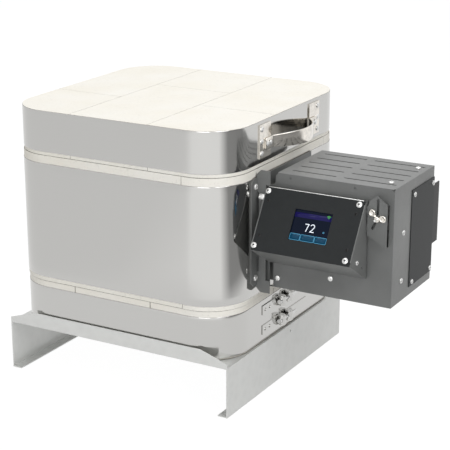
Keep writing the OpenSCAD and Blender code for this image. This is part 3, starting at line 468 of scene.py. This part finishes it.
def head_mesh(bm, matrix, radius, height, recess):
    """Domed head: a fine polar grid whose middle sinks into its recess."""
    rings = 16
    segments = 48
    grid = []
    for i in range(rings + 1):
        r = radius * math.sin(math.pi / 2 * i / rings)
        dome = height * (DOME_RIM + (1 - DOME_RIM) * math.sqrt(max(0, 1 - (r / radius) ** 2)))
        row = []
        for k in range(segments if i else 1):
            angle = 2 * math.pi * k / segments
            x = r * math.cos(angle)
            y = r * math.sin(angle)
            z = dome - recess_depth(x, y, radius, recess)
            row.append(bm.verts.new(matrix @ Vector((x, y, z))))
        grid.append(row)
    skirt = [bm.verts.new(matrix @ Vector((radius * math.cos(2 * math.pi * k / segments),
                                           radius * math.sin(2 * math.pi * k / segments), 0)))
             for k in range(segments)]
    grid.append(skirt)
    for a, b in zip(grid[:-1], grid[1:]):
        for k in range(segments):
            n = (k + 1) % segments
            corners = list(dict.fromkeys([a[k % len(a)], b[k], b[n], a[n % len(a)]]))
            if len(corners) > 2:
                bm.faces.new(corners)
    base = bm.verts.new(matrix @ Vector((0, 0, 0)))
    for k in range(segments):
        bm.faces.new((skirt[(k + 1) % segments], skirt[k], base))


SCREW_SEED = 7
FACE_SCREW_SEED = 3


def screw_set(node, direction_of, radius, height, material, recess="cross"):
    """Replaces a node of screws or rivets by domed heads on thin shanks, each turned its own way."""
    bm = bmesh.new()
    rng = random.Random(SCREW_SEED)
    for centre, low, high in solids_of(node):
        out = direction_of(centre, low, high)
        reach = max(abs(out[i]) * (high[i] - low[i]) for i in range(3))
        top = centre + out * (reach / 2)
        seat = top - out * height
        turn = Matrix.Rotation(rng.uniform(0, math.pi / 2), 4, "Z")
        matrix = facing(out, seat) @ turn
        head_mesh(bm, matrix, radius, height, recess)
        shank(bm, matrix, SHANK_RADIUS, reach - height)
    return new_object(node + "_heads", mesh_from(bm, node + "_heads"), material, BODY_OF[node],
                      (node,), 40)


def along(x, y, z):
    return lambda centre, low, high: Vector((x, y, z))


def longest_outward(centre, low, high):
    """Direction of a screw by its longest side, outward from the box."""
    size = high - low
    if size.z > size.x + 1e-5 and size.z > size.y + 1e-5:
        return Vector((0, 0, 1))
    if size.x > size.y:
        return Vector((1, 0, 0))
    return Vector((0, -1, 0))


def away_from_kiln(centre, low, high):
    return Vector((1 if centre.x > KILN.x else -1, 0, 0))


steel = MATERIALS["bright_steel"]
screw_set("mount_screws", along(1, 0, 0), 4 * MM, 2.6 * MM, steel)
screw_set("box_screws", longest_outward, 3.5 * MM, 2 * MM, steel, "socket")
screw_set("side_plate_screws", along(1, 0, 0), 3.2 * MM, 1.95 * MM, steel)
screw_set("handle_rivets", away_from_kiln, 3.5 * MM, 1.6 * MM, steel, "none")


def pod_side_pieces():
    """Right side screw of the display pod, and the round knob on its left side."""
    bm = bmesh.new()
    housing_low, housing_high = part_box("pod_housing")
    middle = (housing_low.x + housing_high.x) / 2
    for centre, low, high in solids_of("pod_side_screws"):
        if centre.x > middle:
            matrix = facing(Vector((1, 0, 0)), Vector((high.x - 2 * MM, centre.y, centre.z)))
            head_mesh(bm, matrix, 3 * MM, 2 * MM, "cross")
            shank(bm, matrix, SHANK_RADIUS, POD_SHANK_LENGTH)
            continue
        matrix = facing(Vector((-1, 0, 0)), Vector((high.x, centre.y, centre.z)))
        reach = high.x - low.x
        lathe(bm, [(0, -1 * MM), (1.5 * MM, -1 * MM), (1.5 * MM, 1.2 * MM), (3.6 * MM, 1.6 * MM),
                   (4.1 * MM, 2.4 * MM), (4.1 * MM, reach - 1.0 * MM), (3.4 * MM, reach - 0.2 * MM),
                   (0, reach)], 36, matrix)
    return new_object("pod_side_heads", mesh_from(bm, "pod_side_heads"), steel, "pod",
                      ("pod_side_screws",), 40)


pod_side_pieces()


# Display pod: screws and the picture on the glass lie in the frame of the tilted face

def face_frame():
    """Matrix of the tilted face: X to the right, Y up the face, Z outward, at its bottom left."""
    mesh = NODES["face_plate"].data
    tally = {}
    for polygon in mesh.polygons:
        key = tuple(round(c, 2) for c in polygon.normal)
        tally[key] = tally.get(key, 0) + polygon.area
    # The largest face that looks to the front and upward
    fronts = [k for k in tally if k[1] < -0.3 and k[2] > 0.1]
    out = Vector(max(fronts, key=lambda k: tally[k])).normalized()
    up = out.cross(Vector((1, 0, 0))).normalized()
    side = up.cross(out)
    corner = min((v.co for v in mesh.vertices), key=lambda c: c.x + c.dot(up) - c.dot(out))
    basis = Matrix((side, up, out)).transposed().to_4x4()
    return Matrix.Translation(corner) @ basis


FACE = face_frame()
FACE_IN = FACE.inverted()
WASHER_T = 0.7 * MM


def tilted_screws(node, radius, height, material, recess, washer):
    """Screws square to the tilted face, with the washer that shows round a face screw."""
    bm = bmesh.new()
    rng = random.Random(FACE_SCREW_SEED)
    for centre, low, high in solids_of(node):
        local = FACE_IN @ centre
        turn = Matrix.Rotation(rng.uniform(0, 1.5), 4, "Z")
        matrix = FACE @ Matrix.Translation((local.x, local.y, 0)) @ turn
        if washer:
            lathe(bm, [(0, 0), (washer, 0), (washer, 0.5 * MM), (washer - 0.3 * MM, WASHER_T),
                       (0, WASHER_T)], 32, matrix)
        lift = WASHER_T if washer else 0
        head_mesh(bm, matrix @ Matrix.Translation((0, 0, lift)), radius, height, recess)
        shank(bm, matrix, FACE_SHANK_RADIUS, POD_SHANK_LENGTH)
    return new_object(node + "_heads", mesh_from(bm, node + "_heads"), material, "pod",
                      (node,), 40)


tilted_screws("face_screws", 2.7 * MM, 1.5 * MM, steel, "socket", 3.6 * MM)
tilted_screws("board_screws", 2.0 * MM, 0.8 * MM, MATERIALS["black_screw"], "cross", 0)


def socket_shade_discs():
    """Black discs in the sockets of the face screws: painted shade for the recesses."""
    bm = bmesh.new()
    for centre, low, high in solids_of("face_screws"):
        local = FACE_IN @ centre
        matrix = FACE @ Matrix.Translation((local.x, local.y, 0.75 * MM))
        # Painted shade: a black disc down each socket stands for the shade in the recess.
        lathe(bm, in_mm((0, 0), (1.1, 0), (1.1, 0.45), (0, 0.45)), 24, matrix)
    return new_object("face_socket_shade", mesh_from(bm, "face_socket_shade"), MATERIALS["black_screw"], "pod",
                      (), 40)


socket_shade_discs()


def add_plate_glint_strip():
    """Bright steel strip along the upper edge of the face plate: a painted highlight in place of the glint
    of light on that edge.
    """
    corners = [FACE_IN @ v.co for v in NODES["face_plate"].data.vertices]
    width = max(c.x for c in corners)
    top = max(c.y for c in corners)
    radius = 0.55 * MM
    from_side = 1.5 * MM
    length = width - 2 * from_side
    start = Vector((from_side, top, -0.2 * MM))
    bm = bmesh.new()
    lathe(bm, [(0, 0), (radius * 0.7, 0), (radius, radius * 0.5), (radius, length - radius * 0.5),
               (radius * 0.7, length), (0, length)], 20, FACE @ facing(Vector((1, 0, 0)), start))
    return new_object("face_plate_glint_strip", mesh_from(bm, "face_plate_glint_strip"), steel, "pod",
                      (), 40)


# Painted highlight: the bright strip stands in for a glint on the face plate's upper edge.
add_plate_glint_strip()


# The picture on the display: plain numbers, blank buttons and a small signal mark

def flat_outline(name, outlines, material, lift, thickness=0.05 * MM):
    """Thin raised shapes on the glass from lists of (x, y) outlines, in millimetres on the screen."""
    bm = bmesh.new()
    for outline in outlines:
        lower = [bm.verts.new(SCREEN @ Vector((x * MM, y * MM, lift))) for x, y in outline]
        upper = [bm.verts.new(SCREEN @ Vector((x * MM, y * MM, lift + thickness))) for x, y in outline]
        bm.faces.new(upper)
        bm.faces.new(list(reversed(lower)))
        for k in range(len(outline)):
            n = (k + 1) % len(outline)
            bm.faces.new((lower[k], lower[n], upper[n], upper[k]))
    return new_object(name, mesh_from(bm, name), material, "pod", (), 0)


def rounded_rectangle(x, y, width, height, radius, steps=6):
    corners = [(x + width - radius, y + radius, -90), (x + width - radius, y + height - radius, 0),
               (x + radius, y + height - radius, 90), (x + radius, y + radius, 180)]
    points = []
    for cx, cy, start in corners:
        for k in range(steps + 1):
            angle = math.radians(start + 90 * k / steps)
            points.append((cx + radius * math.cos(angle), cy + radius * math.sin(angle)))
    return points


def stroke(points, width):
    """Outline of a line of constant width through points."""
    left = []
    right = []
    for k, (x, y) in enumerate(points):
        x0, y0 = points[max(k - 1, 0)]
        x1, y1 = points[min(k + 1, len(points) - 1)]
        length = math.hypot(x1 - x0, y1 - y0)
        nx, ny = -(y1 - y0) / length * width / 2, (x1 - x0) / length * width / 2
        left.append((x + nx, y + ny))
        right.append((x - nx, y - ny))
    return left + right[::-1]


def arc(cx, cy, radius, start, end, steps=14):
    return [(cx + radius * math.cos(math.radians(start + (end - start) * k / steps)),
             cy + radius * math.sin(math.radians(start + (end - start) * k / steps)))
            for k in range(steps + 1)]


GLASS_RIM = 4 * MM
SCREEN_W = 50
SCREEN_H = 39
glass = [FACE_IN @ v.co for v in NODES["display_window"].data.vertices]
glass_corner = min(glass, key=lambda c: c.x + c.y)
glass_top = max(c.z for c in glass)
SCREEN = FACE @ Matrix.Translation((glass_corner.x + GLASS_RIM, glass_corner.y + GLASS_RIM, glass_top))
white_glow = make_glow("white_glow", (0.86, 0.92, 1.0), 0.85)
blue_glow = make_glow("blue_glow", (0.006, 0.052, 0.105), 0.8)
pale_glow = make_glow("pale_glow", (0.12, 0.42, 0.66), 0.8)
header_glow = make_glow("header_glow", (0.012, 0.010, 0.080), 0.8)
green_glow = make_glow("green_glow", (0.10, 0.42, 0.10), 0.8)
header = rounded_rectangle(0.2, SCREEN_H - 9.6, SCREEN_W - 0.4, 6.2, 0.4, 2)
flat_outline("display_header", [header], header_glow, 0.02 * MM)
seven = stroke([(17.0, 22.2), (22.2, 22.2)], 1.1)
seven_leg = stroke([(22.1, 22.7), (20.7, 18.2), (19.4, 12.8)], 1.15)
two = stroke(arc(27.2, 20.2, 2.5, 165, -35) + [(27.1, 15.6), (24.9, 13.3)], 1.1)
two_foot = stroke([(24.5, 13.3), (30.2, 13.3)], 1.1)
flat_outline("display_number", [seven, seven_leg, two, two_foot], white_glow, 0.02 * MM)
degree = stroke(arc(42.8, 15.0, 0.9, 0, 350), 0.45)
flat_outline("display_unit", [degree], pale_glow, 0.02 * MM)
buttons = [(0.3, 13.9), (14.7, 18.3), (33.4, 15.8)]
flat_outline("display_button_edges", [rounded_rectangle(x, 0.6, w, 8.2, 1.2) for x, w in buttons],
             pale_glow, 0.02 * MM)
flat_outline("display_buttons", [rounded_rectangle(x + 0.45, 1.05, w - 0.9, 7.3, 0.9) for x, w in buttons],
             blue_glow, 0.08 * MM)
fan = [stroke(arc(45.0, 32.2, r, 50, 130, 8), 0.7) for r in (1.3, 2.6, 3.9)]
flat_outline("display_mark", fan, green_glow, 0.08 * MM)


# Wing nut: a turned hub with a round lobe on each side, at unequal heights as cast

NUT_LOBES = [(-6.4, 7.3), (7.3, 1.3)]
NECK_SIDES = 12
NECK_START = 2.6
NECK_SPAN = 4.2
NECK_LIFT = 2.2
NECK_HALF_WIDTH = 2.3
NECK_HALF_THICK = 1.1
NECK_WAIST = 0.35


def wing_nut():
    low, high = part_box("wing_nut")
    joint = next(j for j in frame["record"]["behaviour"]["joints"] if j["child"] == "nut")
    back = Vector((joint["pos_m"][0], high.y, joint["pos_m"][2]))
    front = Vector((0, -1, 0))
    bm = bmesh.new()
    lathe(bm, in_mm((1.6, 0.1), (4.1, 0.1), (4.25, 0.6), (3.9, 2.6), (3.4, 4.0), (2.8, 4.5), (1.6, 4.5),
                    (1.6, 0.1)), 36, facing(front, back))
    for x, z in NUT_LOBES:
        lobe = back + Vector((x * MM, 0, z * MM)) + front * 1.1 * MM
        lathe(bm, in_mm((0, 0), (3.8, 0), (4.5, 0.5), (4.6, 1.1), (4.3, 1.8), (3.5, 2.2), (2.9, 1.7),
                        (1.7, 1.3), (0, 1.15)), 36, facing(front, lobe))
        # Neck between the hub and the lobe, narrower and thinner at its middle
        away = Vector((x, 0, z)).normalized()
        across = away.cross(front)
        rings = []
        for s in (0.0, 0.25, 0.5, 0.75, 1.0):
            waist = 1 - NECK_WAIST * math.sin(math.pi * s)
            at = back + away * (NECK_START + NECK_SPAN * s) * MM + front * NECK_LIFT * MM
            ring = []
            for j in range(NECK_SIDES):
                angle = 2 * math.pi * j / NECK_SIDES
                wide = across * NECK_HALF_WIDTH * waist * math.cos(angle) * MM
                thick = front * NECK_HALF_THICK * waist * math.sin(angle) * MM
                ring.append(bm.verts.new(at + wide + thick))
            rings.append(ring)
        for a, b in zip(rings[:-1], rings[1:]):
            for j in range(NECK_SIDES):
                n = (j + 1) % NECK_SIDES
                bm.faces.new((a[j], a[n], b[n], b[j]))
        bm.faces.new(rings[0])
        bm.faces.new(list(reversed(rings[-1])))
    return new_object("wing_nut_cast", mesh_from(bm, "wing_nut_cast"), MATERIALS["nickel"], "nut",
                      ("wing_nut",), 50)


wing_nut()


# Lid handles: a bowed strip, taller at its middle, with rolled edges and flat ends

GRIP_THICK = 2.2 * MM
GRIP_FLAT_END = 19 * MM
GRIP_HALF_HEIGHT = 7.4 * MM
GRIP_SWELL = 2.2 * MM
GRIP_END_FROM = 0.97
GRIP_END_CUT = 1.6 * MM
GRIP_STEPS = 56
GRIP_RING = 20
GRIP_ROLL = 0.25
# Powers that turn a circle into a flat section with rounded long edges
GRIP_FACE_POWER = 0.35
GRIP_EDGE_POWER = 0.75


def handle_strip(node, side):
    low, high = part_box(node)
    inner = low.x if side > 0 else high.x
    mid_z = (low.z + high.z) / 2
    half_y = (high.y - low.y) / 2
    bow = high.x - low.x - GRIP_THICK
    bow_half = half_y - GRIP_FLAT_END
    bm = bmesh.new()
    sections = []
    for k in range(GRIP_STEPS + 1):
        s = -1 + 2 * k / GRIP_STEPS
        y = s * half_y
        t = max(0.0, 1 - (abs(y) / bow_half) ** 2)
        out = bow * t
        slope = -2 * bow * y / bow_half ** 2 if t > 0 else 0.0
        normal = Vector((1, -slope, 0)).normalized()
        half_h = GRIP_HALF_HEIGHT + GRIP_SWELL * t
        if abs(s) > GRIP_END_FROM:
            half_h -= (abs(s) - GRIP_END_FROM) / (1 - GRIP_END_FROM) * GRIP_END_CUT
        base = Vector((inner + side * out, y + KILN.y, mid_z))
        outward = Vector((side * normal.x, normal.y, 0))
        section = []
        for j in range(GRIP_RING):
            angle = 2 * math.pi * j / GRIP_RING
            flat = math.copysign(abs(math.cos(angle)) ** GRIP_FACE_POWER, math.cos(angle))
            tall = math.copysign(abs(math.sin(angle)) ** GRIP_EDGE_POWER, math.sin(angle))
            rolled = GRIP_ROLL * tall ** 2 * GRIP_THICK * t
            depth = GRIP_THICK / 2 * (1 + flat) - rolled
            section.append(bm.verts.new(base + outward * depth + Vector((0, 0, half_h * tall))))
        sections.append(section)
    for a, b in zip(sections[:-1], sections[1:]):
        for j in range(GRIP_RING):
            n = (j + 1) % GRIP_RING
            bm.faces.new((a[j], a[n], b[n], b[j]))
    bm.faces.new(sections[0])
    bm.faces.new(list(reversed(sections[-1])))
    return new_object(node + "_strip", mesh_from(bm, node + "_strip"), MATERIALS["nickel"], "lid",
                      (node,), 40)


handle_strip("handle_grip_right", 1)
handle_strip("handle_grip_left", -1)


# Heating coils: a real helix of wire along each groove

WIRE_RADIUS = 0.65 * MM
COIL_PITCH = 3.4 * MM
STEPS_PER_TURN = 10
GROOVE_CORNER = 8 * MM
TAIL_OFFSET = 12 * MM


def coil_route(node):
    """Middle line of an element from tail to tail round the chamber, with its own radius."""
    low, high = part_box(node)
    coil_r = (high.z - low.z) / 2
    z = (low.z + high.z) / 2
    west = low.x + coil_r
    half = KILN.x - west
    points = [(half, TAIL_OFFSET)]
    for quarter in range(4):
        start = quarter * 90
        cx = (half - GROOVE_CORNER) * (1 if quarter in (0, 3) else -1)
        cy = (half - GROOVE_CORNER) * (1 if quarter in (0, 1) else -1)
        for k in range(9):
            angle = math.radians(start + 90 * k / 8)
            points.append((cx + GROOVE_CORNER * math.cos(angle), cy + GROOVE_CORNER * math.sin(angle)))
    points.append((half, -TAIL_OFFSET))
    return [Vector((KILN.x + x, KILN.y + y, z)) for x, y in points], coil_r, high.x


def coil_piece(node):
    route, coil_r, tail_end = coil_route(node)
    lengths = [0.0]
    for a, b in zip(route[:-1], route[1:]):
        lengths.append(lengths[-1] + (b - a).length)
    total = lengths[-1]
    turns = int(total / COIL_PITCH)
    count = turns * STEPS_PER_TURN
    data = bpy.data.curves.new(node + "_wire", "CURVE")
    data.dimensions = "3D"
    data.bevel_depth = WIRE_RADIUS
    data.bevel_resolution = 1
    data.use_fill_caps = True
    spline = data.splines.new("POLY")
    places = [Vector((tail_end, route[0].y, route[0].z))]
    segment = 0
    for k in range(count + 1):
        s = total * k / count
        while segment < len(route) - 2 and lengths[segment + 1] < s:
            segment += 1
        a, b = route[segment], route[segment + 1]
        f = (s - lengths[segment]) / (lengths[segment + 1] - lengths[segment])
        at = a.lerp(b, f)
        ahead = (b - a).normalized()
        side = Vector((ahead.y, -ahead.x, 0))
        angle = 2 * math.pi * k / STEPS_PER_TURN
        spoke = side * math.cos(angle) + Vector((0, 0, 1)) * math.sin(angle)
        places.append(at + spoke * (coil_r - WIRE_RADIUS))
    places.append(Vector((tail_end, route[-1].y, route[-1].z)))
    spline.points.add(len(places) - 1)
    for point, place in zip(spline.points, places):
        point.co = (*place, 1)
    obj = bpy.data.objects.new(node + "_wire", data)
    bpy.context.scene.collection.objects.link(obj)
    data.materials.append(MATERIALS["heating_wire"])
    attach(obj, "root")
    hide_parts(node)


coil_piece("element_lower")
coil_piece("element_upper")


# Studio: white floor and backdrop, soft lamps, and the photograph's camera

# Brightness that polished metal sees round the kiln, by turn from -X, and where its dark card begins
SKY_ROUND = [(0.00, 0.76), (0.180, 0.76), (0.235, 0.97), (0.40, 0.97), (0.455, 0.26), (0.572, 0.24),
             (0.605, 0.86), (1.00, 0.76)]
SKY_PEAK = 1.25
CARD_FROM = (0.52, 0.64)
FLOOR_CLOSE = 0.80
FLOOR_WHITE = 1.12
MIRRORED_SHARE = 0.88
SHOWN_SHARE = 0.86


def sky_round(tree, vector):
    """White walls with one dark card on the right, round the kiln."""
    radial = add(tree, "ShaderNodeTexGradient", gradient_type="RADIAL")
    tree.links.new(vector, radial.inputs["Vector"])
    return ramp(tree, radial.outputs["Fac"], [(at, grey(level)) for at, level in SKY_ROUND])


def seen_straight(tree):
    """Ray flags: 1 for what the camera sees, directly or through glass, and 1 for a mirrored ray."""
    rays = tree.nodes.new("ShaderNodeLightPath")
    either = add(tree, "ShaderNodeMath", operation="MAXIMUM")
    tree.links.new(rays.outputs["Is Camera Ray"], either.inputs[0])
    tree.links.new(rays.outputs["Is Transmission Ray"], either.inputs[1])
    return either.outputs["Value"], rays.outputs["Is Glossy Ray"]


def stage_material():
    material = bpy.data.materials.new("studio_white")
    material.use_nodes = True
    tree = material.node_tree
    tree.nodes.clear()
    out = tree.nodes.new("ShaderNodeOutputMaterial")
    diffuse = add(tree, "ShaderNodeBsdfDiffuse")
    diffuse.inputs["Color"].default_value = (0.62, 0.62, 0.62, 1)
    white = add(tree, "ShaderNodeEmission", Strength=FLOOR_WHITE)
    round_kiln = add(tree, "ShaderNodeEmission", Strength=SKY_PEAK)
    place = tree.nodes.new("ShaderNodeTexCoord")
    centred = add(tree, "ShaderNodeVectorMath", operation="SUBTRACT")
    centred.inputs[1].default_value = KILN
    tree.links.new(place.outputs["Object"], centred.inputs[0])
    # The dark card stands away from the kiln, so the floor close by stays white in the low steel
    span = add(tree, "ShaderNodeVectorMath", operation="LENGTH")
    tone = add(tree, "ShaderNodeMix", data_type="RGBA")
    tone.inputs["B"].default_value = (*grey(FLOOR_CLOSE), 1)
    tree.links.new(centred.outputs["Vector"], span.inputs[0])
    tree.links.new(map_range(tree, span.outputs["Value"], CARD_FROM, (1.0, 0.0)), tone.inputs["Factor"])
    tree.links.new(sky_round(tree, centred.outputs["Vector"]), tone.inputs["A"])
    tree.links.new(tone.outputs["Result"], round_kiln.inputs["Color"])
    straight, glossy = seen_straight(tree)
    shown = diffuse.outputs["BSDF"]
    for flag, source, part in ((glossy, round_kiln, MIRRORED_SHARE), (straight, white, SHOWN_SHARE)):
        share = add(tree, "ShaderNodeMath", operation="MULTIPLY")
        share.inputs[1].default_value = part
        mix = tree.nodes.new("ShaderNodeMixShader")
        tree.links.new(flag, share.inputs[0])
        tree.links.new(share.outputs["Value"], mix.inputs["Fac"])
        tree.links.new(shown, mix.inputs[1])
        tree.links.new(source.outputs["Emission"], mix.inputs[2])
        shown = mix.outputs["Shader"]
    tree.links.new(shown, out.inputs["Surface"])
    return material


FLOOR_HALF = 6


def make_floor():
    bm = bmesh.new()
    bmesh.ops.create_grid(bm, x_segments=8, y_segments=8, size=FLOOR_HALF)
    obj = bpy.data.objects.new("studio_floor", mesh_from(bm, "studio_floor"))
    bpy.context.scene.collection.objects.link(obj)
    obj.data.materials.append(stage_material())


def make_world():
    world = bpy.data.worlds.new("studio")
    bpy.context.scene.world = world
    world.use_nodes = True
    tree = world.node_tree
    ambient = tree.nodes["Background"]
    ambient.inputs["Color"].default_value = (0.80, 0.80, 0.79, 1)
    ambient.inputs["Strength"].default_value = 0.55
    white = add(tree, "ShaderNodeBackground", Strength=1.0)
    white.inputs["Color"].default_value = (1, 1, 1, 1)
    walls = add(tree, "ShaderNodeBackground", Strength=SKY_PEAK)
    place = tree.nodes.new("ShaderNodeTexCoord")
    tree.links.new(sky_round(tree, place.outputs["Generated"]), walls.inputs["Color"])
    straight, glossy = seen_straight(tree)
    shown = ambient.outputs["Background"]
    for flag, source in ((glossy, walls), (straight, white)):
        mix = tree.nodes.new("ShaderNodeMixShader")
        tree.links.new(flag, mix.inputs["Fac"])
        tree.links.new(shown, mix.inputs[1])
        tree.links.new(source.outputs["Background"], mix.inputs[2])
        shown = mix.outputs["Shader"]
    tree.links.new(shown, tree.nodes["World Output"].inputs["Surface"])


def area_lamp(name, place, target, size, power):
    lamp = bpy.data.lights.new(name, "AREA")
    lamp.shape = "RECTANGLE"
    lamp.size, lamp.size_y = size
    lamp.energy = power
    obj = bpy.data.objects.new(name, lamp)
    bpy.context.scene.collection.objects.link(obj)
    obj.location = place
    obj.rotation_mode = "QUATERNION"
    obj.rotation_quaternion = (Vector(target) - Vector(place)).to_track_quat("-Z", "Y")


def make_camera():
    data = bpy.data.cameras.new("camera")
    data.lens = CAMERA_LENS
    data.sensor_width = 36
    data.shift_x, data.shift_y = CAMERA_SHIFT
    camera = bpy.data.objects.new("camera", data)
    bpy.context.scene.collection.objects.link(camera)
    camera.location = KILN + CAMERA_AT
    camera.rotation_euler = (math.pi / 2 - CAMERA_PITCH, 0, CAMERA_YAW)
    bpy.context.scene.camera = camera


make_floor()
make_world()
MIDDLE = (KILN.x, KILN.y, 0.2)
area_lamp("key", (1.9, -0.9, 1.9), MIDDLE, (1.4, 1.2), 20)
area_lamp("top", (-0.2, 0.5, 2.4), MIDDLE, (2.0, 2.0), 24)
area_lamp("fill", (0.7, -2.3, 0.9), MIDDLE, (1.2, 1.0), 14)
make_camera()
bpy.context.scene.view_settings.view_transform = "Standard"
